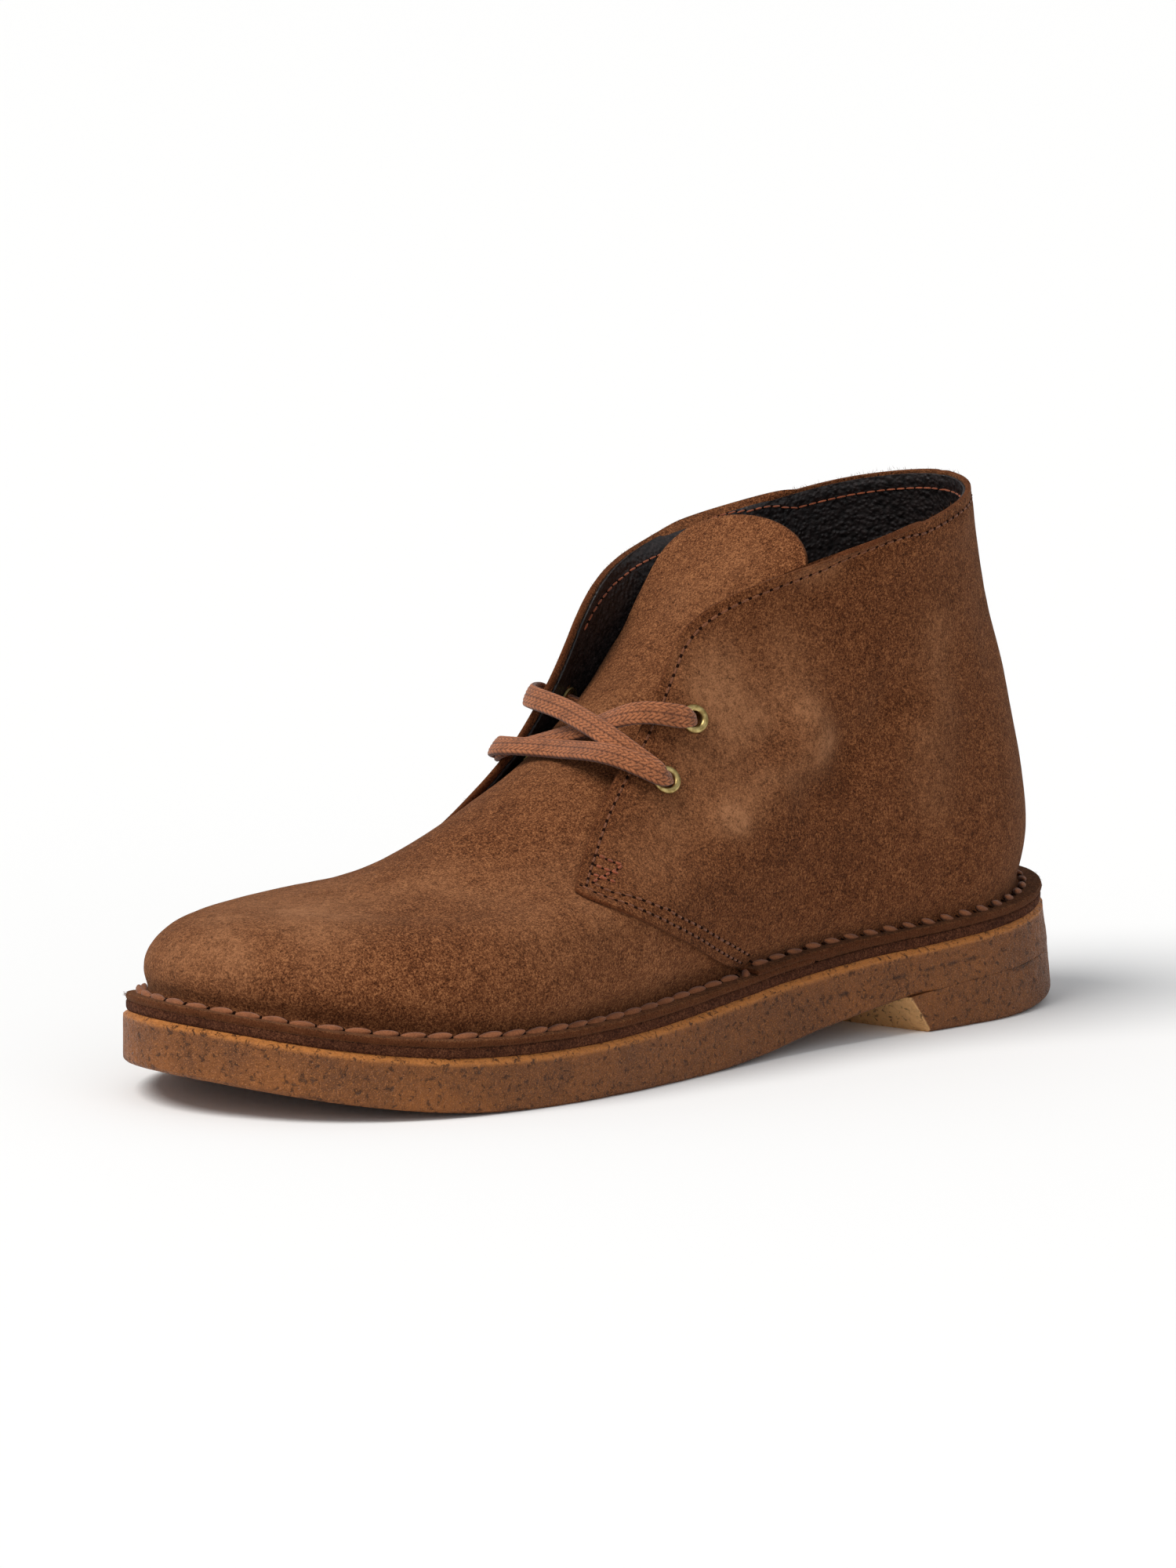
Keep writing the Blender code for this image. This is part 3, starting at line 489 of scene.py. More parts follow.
# %% [markdown]
# ## Meshes from grids
# A leather piece is a sheet with a thickness. We work out a grid of points for its face, push a
# second grid inwards along the normals, and join the two round every edge, with a slight swell
# there, because cut suede is never knife sharp. Quads left out of the grid make a real hole with
# its own wall, which is how the eyelets go through.

# %% Grid helpers
def grid_normals(points):
    """Unit normals of a grid: the cross product of its steps down and across."""
    return unit(np.cross(np.gradient(points, axis=0), np.gradient(points, axis=1)))


def grid_quads(rows, columns, wrap=False, turned=False):
    """Index quads of a grid, as (row, column, 4); wrap joins its last column to its first, and
    turned joins its last row to its first."""
    index = np.arange(rows * columns).reshape(rows, columns)
    if turned:
        index = np.concatenate([index, index[:1]])
    if wrap:
        index = np.concatenate([index, index[:, :1]], 1)
    return np.stack([index[:-1, :-1], index[1:, :-1], index[1:, 1:], index[:-1, 1:]], -1)


print("a grid of 4 by 5 points has", grid_quads(4, 5).reshape(-1, 4).shape[0], "quads")

# %% One mesh object
SHARP_ANGLE = 55  # degrees; steeper edges stay sharp


def make(name, points, faces, material, slot, masks=None):
    """A smooth mesh object from a point array and one or more face arrays, turned outwards if
    its signed volume is negative. masks are named values per point that materials read."""
    points = np.ascontiguousarray(points, np.float64).reshape(-1, 3)
    kinds = [f.reshape(-1, f.shape[-1]) for f in (faces if isinstance(faces, list) else [faces])]
    tris = np.concatenate([f[:, [0, k, k + 1]] for f in kinds for k in range(1, f.shape[1] - 1)])
    a, b, c = (points[tris[:, k]] for k in range(3))
    volume = np.einsum("nd,nd->", a, np.cross(b, c)) / 6
    if volume < 0:
        kinds = [f[:, ::-1] for f in kinds]
    mesh = bpy.data.meshes.new(name)
    mesh.vertices.add(len(points))
    mesh.vertices.foreach_set("co", points.astype(np.float32).ravel())
    corners = np.concatenate([f.ravel() for f in kinds]).astype(np.int32)
    sizes = np.concatenate([np.full(len(f), f.shape[1]) for f in kinds])
    mesh.loops.add(len(corners))
    mesh.loops.foreach_set("vertex_index", corners)
    mesh.polygons.add(len(sizes))
    mesh.polygons.foreach_set("loop_start", (np.cumsum(sizes) - sizes).astype(np.int32))
    mesh.update(calc_edges=True)
    mesh.shade_smooth()
    mesh.set_sharp_from_angle(angle=math.radians(SHARP_ANGLE))
    for key, values in (masks or {}).items():
        layer = mesh.attributes.new(key, "FLOAT", "POINT")
        layer.data.foreach_set("value", np.ascontiguousarray(values, np.float32).ravel())
    mesh.materials.append(material)
    obj = bpy.data.objects.new(name, mesh)
    bpy.context.scene.collection.objects.link(obj)
    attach(obj, "root")
    print(name, len(points), "points,", len(tris), "triangles,", round(abs(volume) * 1e6, 2), "ml")
    return obj


# %% A sheet with a wall
def sheet_wall(face, thickness, keep=None, swell=0.0003, edge_rows=3):
    """A closed wall: the face grid, the same grid pushed in by thickness, rounded edges between
    them, and straight walls round the holes that keep leaves out. Gives points, quads, and a
    mask that is 1 on the cut edges. An edge that only one kept quad uses is the rim of a hole."""
    rows, columns = face.shape[:2]
    back = face - grid_normals(face) * (thickness[..., None] if np.ndim(thickness) else thickness)
    quads = grid_quads(rows, columns)
    keep = np.ones(quads.shape[:2], bool) if keep is None else keep
    count = rows * columns
    front = quads[keep]
    index = np.arange(count).reshape(rows, columns)
    ring = np.concatenate([index[:, 0], index[-1, 1:], index[-2::-1, -1], index[0, -2:0:-1]])
    inward = face.copy()
    inward[:, 0] = face[:, 1]
    inward[:, -1] = face[:, -2]
    inward[0] = inward[1]
    inward[-1] = inward[-2]
    inward[0, 0], inward[0, -1] = face[1, 1], face[1, -2]
    inward[-1, 0], inward[-1, -1] = face[-2, 1], face[-2, -2]
    flat_face, flat_back = face.reshape(-1, 3), back.reshape(-1, 3)
    out = unit((face - inward).reshape(-1, 3)[ring])
    t = (np.arange(1, edge_rows + 1) / (edge_rows + 1))[:, None, None]
    edge = flat_face[ring] * (1 - t) + flat_back[ring] * t + out * swell * np.sin(math.pi * t)
    rim = 2 * count + np.arange(edge_rows * len(ring)).reshape(edge_rows, -1)
    loops = np.concatenate([ring[None], rim, ring[None] + count])
    after = np.roll(loops, -1, 1)
    side = np.stack([after[:-1], loops[:-1], loops[1:], after[1:]], -1).reshape(-1, 4)
    edges = np.concatenate([front[:, [0, 1]], front[:, [1, 2]], front[:, [2, 3]], front[:, [3, 0]]])
    key = np.sort(edges, 1) @ np.array([count, 1])
    _, first, uses = np.unique(key, return_index=True, return_counts=True)
    lone = edges[first[uses == 1]]
    on_ring = np.zeros(count, bool)
    on_ring[ring] = True
    lone = lone[~(on_ring[lone[:, 0]] & on_ring[lone[:, 1]])]
    hole = np.stack([lone[:, 1], lone[:, 0], lone[:, 0] + count, lone[:, 1] + count], -1)
    points = np.concatenate([flat_face, flat_back, edge.reshape(-1, 3)])
    faces = np.concatenate([front, front[:, ::-1] + count, side, hole])
    cut = np.zeros(len(points))
    cut[2 * count:] = 1
    used = np.zeros(len(points), bool)
    used[faces] = True
    new = np.cumsum(used) - 1
    return points[used], new[faces], cut[used]


# %% Noise and strokes
NOISE_VALUES = 4096  # random numbers in the table, picked by three primes


def lattice_noise(points, size, seed):
    """Soft random values from -1 to 1: random numbers on a cubic lattice of that size, blended
    smoothly between its corners."""
    rng = np.random.default_rng(seed)
    table = rng.uniform(-1, 1, NOISE_VALUES)
    place = np.asarray(points) / size + 100.0
    cell = np.floor(place).astype(np.int64)
    f = smooth(place - cell, 0, 1)
    total = 0
    for corner in range(8):
        step = np.array([corner & 1, corner >> 1 & 1, corner >> 2])
        at = cell + step
        value = table[(at[..., 0] * 73 + at[..., 1] * 179 + at[..., 2] * 283) % NOISE_VALUES]
        total = total + value * np.prod(np.where(step, f, 1 - f), -1)
    return total


def stroke(points, start, end, width):
    """1 on the straight line from start to end, both in millimetres, and a bell-shaped fall to 0
    over that width round it."""
    start, end = np.array(start) / 1000, np.array(end) / 1000
    way = end - start
    t = np.clip(((points - start) @ way) / max(way @ way, 1e-9), 0, 1)
    far = np.linalg.norm(points - start - t[..., None] * way, axis=-1)
    return np.exp(-((far / (width / 1000)) ** 2))


print("noise at the origin:", round(float(lattice_noise(np.zeros(3), 0.01, 1)), 3))

# %% [markdown]
# ## Finishes
# Suede is leather with its fibres raised. Seen close, it is a fine speckle of light fibre tips and
# dark gaps; seen from a step away it has broad patches where the nap was brushed one way or the
# other. Both come from noise at several sizes, put into one node group that every napped piece
# uses with its own colours. Three masks come from the meshes, because where a boot is scuffed and
# where light falls follow its shape: one lightens worn nap and paints highlights on the toe and on
# fold ridges, one paints shade into the corner above the flange and darkens the flange, and the
# mask cut marks the cut edges.

# %% Node helpers
def node(tree, kind, inputs=None, **settings):
    """A shader node with its settings, and its inputs linked or filled in."""
    made = tree.nodes.new("ShaderNode" + kind)
    for key, value in settings.items():
        setattr(made, key, value)
    for key, value in (inputs or {}).items():
        if isinstance(value, bpy.types.NodeSocket):
            tree.links.new(value, made.inputs[key])
        else:
            made.inputs[key].default_value = value
    return made


def plus(tree, a, b):
    """a plus b, from one Math node."""
    return node(tree, "Math", {0: a, 1: b}, operation="ADD").outputs[0]


def less(tree, a, b):
    """a minus b, from one Math node."""
    return node(tree, "Math", {0: a, 1: b}, operation="SUBTRACT").outputs[0]


def times(tree, a, b):
    """a times b, from one Math node."""
    return node(tree, "Math", {0: a, 1: b}, operation="MULTIPLY").outputs[0]


def noise(tree, vector, scale, detail=2.0, roughness=0.5, distortion=0.0):
    """The value of a Noise node, in repeats per metre."""
    values = {"Vector": vector, "Scale": scale, "Detail": detail, "Roughness": roughness,
              "Distortion": distortion}
    return node(tree, "TexNoise", values).outputs["Fac"]


def ramp(tree, value, low, high, start=0.0, end=1.0):
    """The value stretched from low..high to start..end, and held there."""
    values = {"Value": value, "From Min": low, "From Max": high, "To Min": start, "To Max": end}
    return node(tree, "MapRange", values).outputs["Result"]


def mixed(tree, factor, a, b):
    """Two colours mixed by a factor."""
    return node(tree, "Mix", {0: factor, 6: a, 7: b}, data_type="RGBA").outputs[2]


print("node helpers:", ", ".join(helper.__name__ for helper in (node, plus, less, times, noise, ramp, mixed)))

# %% Groups and materials
def new_group(name, inputs):
    """An empty node group. Its inputs are Vector and then the named ones, each (name, kind,
    value); its outputs are Color, Rough and Height."""
    tree = bpy.data.node_groups.new(name, "ShaderNodeTree")
    inputs = [("Vector", "Vector", None)] + inputs
    for label, kind, value in inputs:
        socket = tree.interface.new_socket(label, in_out="INPUT", socket_type="NodeSocket" + kind)
        if value is not None:
            socket.default_value = value
    for label, kind in (("Color", "Color"), ("Rough", "Float"), ("Height", "Float")):
        tree.interface.new_socket(label, in_out="OUTPUT", socket_type="NodeSocket" + kind)
    return tree, tree.nodes.new("NodeGroupInput").outputs, tree.nodes.new("NodeGroupOutput")


def new_material(name, color, roughness, **sockets):
    """A material with its Principled shader; sockets that stay the same all over are set here."""
    material = bpy.data.materials.new(name)
    material.use_nodes = True
    tree = material.node_tree
    shader = tree.nodes["Principled BSDF"]
    shader.inputs["Base Color"].default_value = (*color, 1)
    shader.inputs["Roughness"].default_value = roughness
    for key, value in sockets.items():
        shader.inputs[key.replace("_", " ")].default_value = value
    return material, tree, shader


def raise_bumps(tree, shader, bump, distance, height):
    """A Bump node from a height to the shader's Normal."""
    raised = node(tree, "Bump", {"Strength": bump, "Distance": distance, "Height": height})
    tree.links.new(raised.outputs["Normal"], shader.inputs["Normal"])


def finish_group(tree, out, color, rough, height):
    """Links a group's three results to its outputs."""
    for key, value in (("Color", color), ("Rough", rough), ("Height", height)):
        tree.links.new(value, out.inputs[key])


def dress(tree, shader, group, values, bump, distance):
    """Places a group in a material: its Color and Rough feed the shader, and its Height a Bump."""
    where = node(tree, "TexCoord").outputs["Object"]
    made = node(tree, "Group", node_tree=group)
    tree.links.new(where, made.inputs["Vector"])
    for key, value in values.items():
        if isinstance(value, str):
            value = node(tree, "Attribute", attribute_name=value).outputs["Fac"]
        if isinstance(value, bpy.types.NodeSocket):
            tree.links.new(value, made.inputs[key])
        else:
            made.inputs[key].default_value = value
    tree.links.new(made.outputs["Color"], shader.inputs["Base Color"])
    tree.links.new(made.outputs["Rough"], shader.inputs["Roughness"])
    raise_bumps(tree, shader, bump, distance, made.outputs["Height"])


# %% The nap, for suede and for cut leather edges
nap, given, out = new_group("raised_nap", [
    ("Base", "Color", (0.19, 0.075, 0.034, 1)), ("Tip", "Color", (0.36, 0.18, 0.085, 1)),
    ("Gap", "Color", (0.06, 0.021, 0.009, 1)), ("WornAndLit", "Color", (0.38, 0.170, 0.078, 1)),
    ("Edge", "Color", (0.100, 0.029, 0.0100, 1)), ("Brush", "Float", 1.0),
    ("HighlightAndWear", "Float", 0.0), ("DarkeningAndShade", "Float", 0.0), ("Cut", "Float", 0.0)])
where = given["Vector"]
fibre = noise(nap, where, 1500.0, 3.0, 0.65)
speck = noise(nap, where, 2900.0, 2.0, 0.6)
clump = noise(nap, where, 380.0, 4.0, 0.62, 0.6)
patch = noise(nap, where, 38.0, 3.0, 0.55, 0.8)
streak = node(nap, "Mapping", {"Vector": where, "Rotation": (0.5, 0.2, 0.9), "Scale": (1.0, 0.22, 0.5)})
sweep = noise(nap, streak.outputs[0], 120.0, 3.0, 0.6, 0.4)
brushed = times(nap, less(nap, sweep, 0.5), 0.5)
broad = times(nap, plus(nap, less(nap, patch, 0.5), brushed), given["Brush"])
fine = plus(nap, less(nap, fibre, 0.5), times(nap, less(nap, clump, 0.5), 0.40))
fine = plus(nap, fine, times(nap, less(nap, speck, 0.5), 0.95))
tone = plus(nap, times(nap, broad, 0.48), times(nap, fine, 3.0))
color = mixed(nap, ramp(nap, tone, 0.0, 0.85), given["Base"], given["Tip"])
color = mixed(nap, ramp(nap, tone, 0.0, -0.75), color, given["Gap"])
broken = ramp(nap, plus(nap, clump, times(nap, fine, 1.1)), 0.05, 0.75, 0.25, 0.9)
# Pale nap mixed in: worn nap, and painted highlight on the toe's dome and on fold ridges.
color = mixed(nap, times(nap, given["HighlightAndWear"], broken), color, given["WornAndLit"])
color = mixed(nap, times(nap, given["Cut"], ramp(nap, fibre, 0.3, 0.62)), color, given["Edge"])
# Painted shade in the corner above the flange, and darker patches on the flange and the midsole's edge.
color = mixed(nap, times(nap, given["DarkeningAndShade"], 0.75), color, given["Gap"])
finish_group(nap, out, color, ramp(nap, tone, -0.5, 0.5, 1.0, 0.82), plus(nap, fine, times(nap, clump, 0.6)))


def shades(**colors):
    """Named colours with an alpha of 1, as sockets want them."""
    return {key: (*color, 1) for key, color in colors.items()}


def suede_finish(name, base, tip, gap):
    """A suede from its three shades: the nap's body, its lit fibre tips and its dark gaps."""
    material, tree, shader = new_material(name, base, 0.95, Sheen_Weight=0.12, Sheen_Roughness=0.4,
                                          Sheen_Tint=(1.0, 0.62, 0.38, 1), Specular_IOR_Level=0.06)
    masks = {"HighlightAndWear": "highlight_and_wear", "DarkeningAndShade": "darkening_and_shade", "Cut": "cut"}
    dress(tree, shader, nap, shades(Base=base, Tip=tip, Gap=gap) | masks, 0.6, 0.0006)
    return material


suede = suede_finish("vamp_suede", (0.145, 0.0475, 0.0175), (0.37, 0.150, 0.058), (0.033, 0.0092, 0.0034))
# A darker copy of the vamp's suede for the quarters: painted shade.
shaded_quarter_suede = suede_finish("shaded_quarter_suede", (0.115, 0.0360, 0.0127), (0.31, 0.118, 0.044),
                             (0.025, 0.0070, 0.0027))
edge_leather, tree, shader = new_material("fuzzy_leather_edge", (0.10, 0.036, 0.016), 0.95,
                                          Specular_IOR_Level=0.1)
edge_shades = shades(Base=(0.085, 0.026, 0.011), Tip=(0.20, 0.075, 0.033), Gap=(0.025, 0.008, 0.004))
dress(tree, shader, nap, edge_shades | {"Brush": 0.4, "DarkeningAndShade": "darkening_and_shade"}, 0.7, 0.0007)
print("finishes:", suede.name, shaded_quarter_suede.name, edge_leather.name)

# %% [markdown]
# Natural crepe is coagulated rubber: a semi-matt amber brown with pits, glossy crumbs and
# a paler, unstained core. Its side was stained dark, its top corner was trimmed afterwards and so
# shows bright orange, and the breast of the heel shows the creamy core.

# %% Crepe
rubber, given, out = new_group("crepe_rubber", [
    ("Stain", "Color", (0.142, 0.049, 0.0145, 1)), ("Amber", "Color", (0.290, 0.096, 0.021, 1)),
    ("Trim", "Color", (0.50, 0.180, 0.040, 1)), ("Core", "Color", (0.86, 0.47, 0.19, 1)),
    ("Pit", "Color", (0.022, 0.008, 0.004, 1)), ("Trimmed", "Float", 0.0), ("Warm", "Float", 0.0),
    ("Bare", "Float", 0.0), ("Joint", "Float", 0.0)])
where = given["Vector"]
cells = node(rubber, "TexVoronoi", {"Vector": where, "Scale": 520.0, "Randomness": 1.0}, feature="F1")
rough = noise(rubber, where, 620.0, 4.0, 0.7, 0.8)
cloud = noise(rubber, where, 60.0, 4.0, 0.6, 0.5)
grit = noise(rubber, where, 2600.0, 2.0, 0.6)
pits = ramp(rubber, plus(rubber, rough, times(rubber, cells.outputs["Distance"], 0.22)), 0.52, 0.44)
color = mixed(rubber, ramp(rubber, cloud, 0.38, 0.68, 0.0, 0.5), given["Stain"], given["Amber"])
color = mixed(rubber, times(rubber, given["Warm"], ramp(rubber, cloud, 0.3, 0.6)), color, given["Amber"])
color = mixed(rubber, ramp(rubber, grit, 0.55, 0.66, 0.0, 0.6), color, given["Trim"])
color = mixed(rubber, ramp(rubber, rough, 0.56, 0.70, 0.0, 0.4), color, given["Amber"])
color = mixed(rubber, times(rubber, given["Trimmed"], ramp(rubber, rough, 0.3, 0.5)), color, given["Trim"])
color = mixed(rubber, times(rubber, given["Bare"], ramp(rubber, rough, 0.26, 0.42)), color, given["Core"])
color = mixed(rubber, times(rubber, pits, 0.6), color, given["Pit"])
dash = times(rubber, given["Joint"], ramp(rubber, noise(rubber, where, 150.0, 2.0), 0.50, 0.60))
color = mixed(rubber, dash, color, given["Pit"])
height = less(rubber, times(rubber, rough, 1.6), pits)
height = less(rubber, times(rubber, grit, 0.5), less(rubber, dash, height))
finish_group(rubber, out, color, ramp(rubber, grit, 0.42, 0.66, 0.70, 0.26), height)
crepe, tree, shader = new_material("stained_crepe", (0.125, 0.055, 0.027), 0.55, Specular_IOR_Level=0.3,
                                   Subsurface_Weight=0.04, Subsurface_Radius=(0.004, 0.002, 0.001))
masks = {"Trimmed": "trimmed", "Warm": "warm", "Bare": "bare", "Joint": "joint"}
dress(tree, shader, rubber, masks, 0.8, 0.0010)
print("finish:", crepe.name)

# %% [markdown]
# The rest are small: pebbled lining leather, brass, and cotton, which is twisted in the threads
# and braided in the lace. The lace's braid is real relief, and its material also paints shade into
# the grooves, which the mesh marks.

# %% Lining, brass, threads and lace
lining, tree, shader = new_material("lining_leather", (0.012, 0.0065, 0.006), 0.5, Specular_IOR_Level=0.45)
where = node(tree, "TexCoord").outputs["Object"]
pebble = node(tree, "TexVoronoi", {"Vector": where, "Scale": 900.0}, feature="SMOOTH_F1").outputs["Distance"]
folds = noise(tree, where, 420.0, 3.0, 0.6)
grain = ramp(tree, plus(tree, pebble, folds), 0.5, 1.2)
shade = mixed(tree, grain, (0.022, 0.0125, 0.0115, 1), (0.005, 0.003, 0.003, 1))
tree.links.new(shade, shader.inputs["Base Color"])
tree.links.new(ramp(tree, folds, 0.3, 0.7, 0.62, 0.42), shader.inputs["Roughness"])
raise_bumps(tree, shader, 0.6, 0.0008, less(tree, folds, pebble))

brass, tree, shader = new_material("aged_brass", (0.45, 0.33, 0.13), 0.3, Metallic=1.0)
where = node(tree, "TexCoord").outputs["Object"]
tarnish = noise(tree, where, 700.0, 4.0, 0.6)
shade = mixed(tree, ramp(tree, tarnish, 0.40, 0.65), (0.56, 0.43, 0.18, 1), (0.30, 0.21, 0.075, 1))
tree.links.new(shade, shader.inputs["Base Color"])
tree.links.new(ramp(tree, tarnish, 0.3, 0.7, 0.24, 0.5), shader.inputs["Roughness"])

cotton, given, out = new_group("spun_cotton", [
    ("Yarn", "Color", (0.27, 0.105, 0.055, 1)), ("Deep", "Color", (0.07, 0.022, 0.011, 1)),
    ("Bright", "Color", (0.42, 0.19, 0.11, 1)), ("GrooveShade", "Float", 0.0)])
lint = noise(cotton, given["Vector"], 3200.0, 3.0, 0.6)
soft = noise(cotton, given["Vector"], 260.0, 2.0)
color = mixed(cotton, ramp(cotton, lint, 0.35, 0.7), given["Yarn"], given["Bright"])
color = mixed(cotton, ramp(cotton, soft, 0.45, 0.7, 0.0, 0.35), color, given["Deep"])
# Painted shade in the braid's grooves.
color = mixed(cotton, given["GrooveShade"], color, given["Deep"])
finish_group(cotton, out, color, ramp(cotton, lint, 0.3, 0.7, 0.95, 0.7), lint)


def cotton_finish(name, yarn, bright, deep):
    """A cotton material with its own three shades."""
    material, tree, shader = new_material(name, yarn, 0.85, Sheen_Weight=0.2, Specular_IOR_Level=0.2)
    values = shades(Yarn=yarn, Bright=bright, Deep=deep) | {"GrooveShade": "groove_shade"}
    dress(tree, shader, cotton, values, 0.35, 0.0002)
    return material


lace_cotton = cotton_finish("lace_cotton", (0.295, 0.092, 0.033), (0.50, 0.185, 0.075), (0.044, 0.012, 0.005))
welt_thread = cotton_finish("sole_thread", (0.19, 0.062, 0.023), (0.36, 0.130, 0.050), (0.05, 0.015, 0.006))
seam_thread = cotton_finish("seam_thread", (0.125, 0.038, 0.014), (0.27, 0.096, 0.036), (0.03, 0.009, 0.004))
rust_thread = cotton_finish("rust_thread", (0.22, 0.050, 0.018), (0.36, 0.100, 0.040), (0.04, 0.010, 0.004))
# Near black for needle holes and the sole seam's dents: painted shade.
hole_shade = new_material("needle_hole_shade", (0.012, 0.004, 0.002), 0.9, Specular_IOR_Level=0.05)[0]
print("finishes:", lining.name, brass.name, lace_cotton.name, welt_thread.name)

# %% [markdown]
# ## Camera, light and floor
# The camera looks from the toe's outer side, a little above the boot, through a long lens, as the
# photograph's fitted camera does. A big soft lamp at the upper left gives the toe its light top,
# and a pale sky fills the shadows, as white paper round a product does.

# %% Camera
AZIMUTH, ELEVATION, ROLL = np.radians([49.5, 9.0, 0.3])
PHOTO_WIDTH, FOCAL, CENTRE = 1500, 10516, (154, 5)  # in the photograph's pixels
DISTANCE = 2.2  # metres from the boot's middle
flat_right = np.array([np.cos(AZIMUTH), np.sin(AZIMUTH), 0.0])
level_back = np.array([np.sin(AZIMUTH), -np.cos(AZIMUTH), 0.0])
back = level_back * np.cos(ELEVATION) + np.array([0.0, 0.0, np.sin(ELEVATION)])
flat_up = np.cross(back, flat_right)
right = np.cos(ROLL) * flat_right + np.sin(ROLL) * flat_up
up = np.cos(ROLL) * flat_up - np.sin(ROLL) * flat_right
eye = np.array([0, 0, 0.060]) - 0.0383 * flat_right + 0.00965 * flat_up + DISTANCE * back
aim = unit(right * CENTRE[0] + up * CENTRE[1] - back * FOCAL)


def look(obj, place, direction, upright):
    """Stands an object at place with its -Z along direction: three axes from two cross products."""
    z = -unit(direction)
    x = unit(np.cross(upright, z))
    frame_axes = np.eye(4)
    frame_axes[:3, :3] = np.stack([x, np.cross(z, x), z], 1)
    frame_axes[:3, 3] = place
    obj.matrix_world = mathutils.Matrix(frame_axes.tolist())


SENSOR_WIDTH = 36.0  # mm
camera = bpy.data.objects.new("camera", bpy.data.cameras.new("camera"))
camera.data.sensor_fit = "HORIZONTAL"
camera.data.sensor_width = SENSOR_WIDTH
camera.data.lens = SENSOR_WIDTH * FOCAL / PHOTO_WIDTH
bpy.context.scene.collection.objects.link(camera)
bpy.context.scene.camera = camera
look(camera, eye, aim, up)
print("camera at", eye.round(3), "lens", round(camera.data.lens, 1))

# %% Light and floor
def soft_sun(name, way, softness, strength, color):
    """A far lamp whose disc is softness degrees wide: it lights floor and boot evenly, with soft
    shadows. way is where it stands, as shares of the picture's right, of up and of nearness."""
    lamp = bpy.data.objects.new(name, bpy.data.lights.new(name, "SUN"))
    lamp.data.angle = math.radians(softness)
    lamp.data.energy = strength
    lamp.data.color = color
    bpy.context.scene.collection.objects.link(lamp)
    place = way[0] * flat_right + way[1] * np.array([0, 0, 1.0]) + way[2] * back
    look(lamp, place, -place, np.array([0, 0.3, 1.0]))


soft_sun("key", (-2.7, 4.4, 1.7), 32, 2.45, (1.0, 0.985, 0.96))
soft_sun("fill", (2.0, 1.6, 4.0), 60, 0.42, (0.97, 0.985, 1.0))
world = bpy.data.worlds.new("pale_room")
world.use_nodes = True
sky = world.node_tree.nodes["Background"].inputs
sky["Color"].default_value, sky["Strength"].default_value = (0.96, 0.98, 1.0, 1), 0.42
bpy.context.scene.world = world
bpy.context.scene.view_settings.view_transform = "Standard"
FLOOR_HALF = 14  # metres
floor_mesh = bpy.data.meshes.new("floor")
corners = [(x * FLOOR_HALF, y * FLOOR_HALF, 0) for x, y in ((-1, -1), (1, -1), (1, 1), (-1, 1))]
floor_mesh.from_pydata(corners, [], [(0, 1, 2, 3)])
floor_mesh.materials.append(new_material("pale_paper", (0.92, 0.92, 0.92), 0.9, Specular_IOR_Level=0.1)[0])
floor = bpy.data.objects.new("floor", floor_mesh)
bpy.context.scene.collection.objects.link(floor)

# %% [markdown]
# ## The sole
# The crepe is cut from a sheet and its side is ground by hand after lasting, so it wavers a
# little and its foot is ragged. A closed loop of points per height, from foot to top, gives the
# side; strips from one side to the other close the top and the bottom. The heel lift is a second
# layer of crepe whose front, the breast, shows the pale core.

# %% Loops of the sole
SIDE_STEPS = 300
MILLIMETRE = 1e-3


def leaning(angle, side, offset, lean):
    """The sole's edge moved out by offset and by that share of the crepe's lean; the way out is
    read from a second edge, a millimetre further out."""
    near, far = outline(angle, side, offset), outline(angle, side, offset + MILLIMETRE)
    return near + (far - near) / MILLIMETRE * (lean * spread(near[:, 1]))[:, None]


def paired_loop(offset, lean=0.0):
    """Closed plan loop of the sole: its outer side from heel end to toe end, its inner side back."""
    angle = np.linspace(0, math.pi, SIDE_STEPS + 1)
    angle = angle - 0.18 * np.sin(2 * angle) * 0.5
    return np.concatenate([leaning(angle, 1, offset, lean), leaning(angle[-2:0:-1], -1, offset, lean)])


def loop_stack(rows):
    """Faces of a solid stacked from closed paired loops: side quads, then strips across the foot
    and the top whose first and last are triangles."""
    count, size = rows.shape[:2]
    side = grid_quads(count, size, wrap=True)[..., ::-1].reshape(-1, 4)
    k = np.arange(1, size // 2 - 1)
    strip = np.stack([k, k + 1, size - k - 1, size - k], 1)
    tips = np.array([[0, 1, size - 1], [size // 2 - 1, size // 2, size // 2 + 1]])
    over = (count - 1) * size
    quads = np.concatenate([side, strip, strip[:, ::-1] + over])
    return [quads, np.concatenate([tips, tips[:, ::-1] + over])]


def side_waver(rows, tall, seed):
    """Pushes the side in by soft noise at three sizes, against each loop's outward direction."""
    along = np.roll(rows, -1, 1) - np.roll(rows, 1, 1)
    out = unit(np.stack([-along[..., 1], along[..., 0], 0 * along[..., 0]], -1))
    waver = lattice_noise(rows, 0.014, seed) * 0.6 + lattice_noise(rows, 0.0038, seed + 1) * 0.4
    waver = waver + lattice_noise(rows, 0.0016, seed + 2) * 0.25
    return rows - out * np.abs(waver)[..., None] * tall


plain_loop = paired_loop(0.0)[:, 1]
BREAST_FRONT = float(plain_loop.max() - HEEL_SHARE * np.ptp(plain_loop))
print("a loop has", len(plain_loop), "points; the breast starts at y", round(BREAST_FRONT, 4))

# %% Crepe outsole
CREPE_ROUND = 0.0011  # height over which the outsole's foot is rounded
CREPE_WAVER = 0.0004
DASHED_ROW = 10  # where the dark dashes of the glued joint run


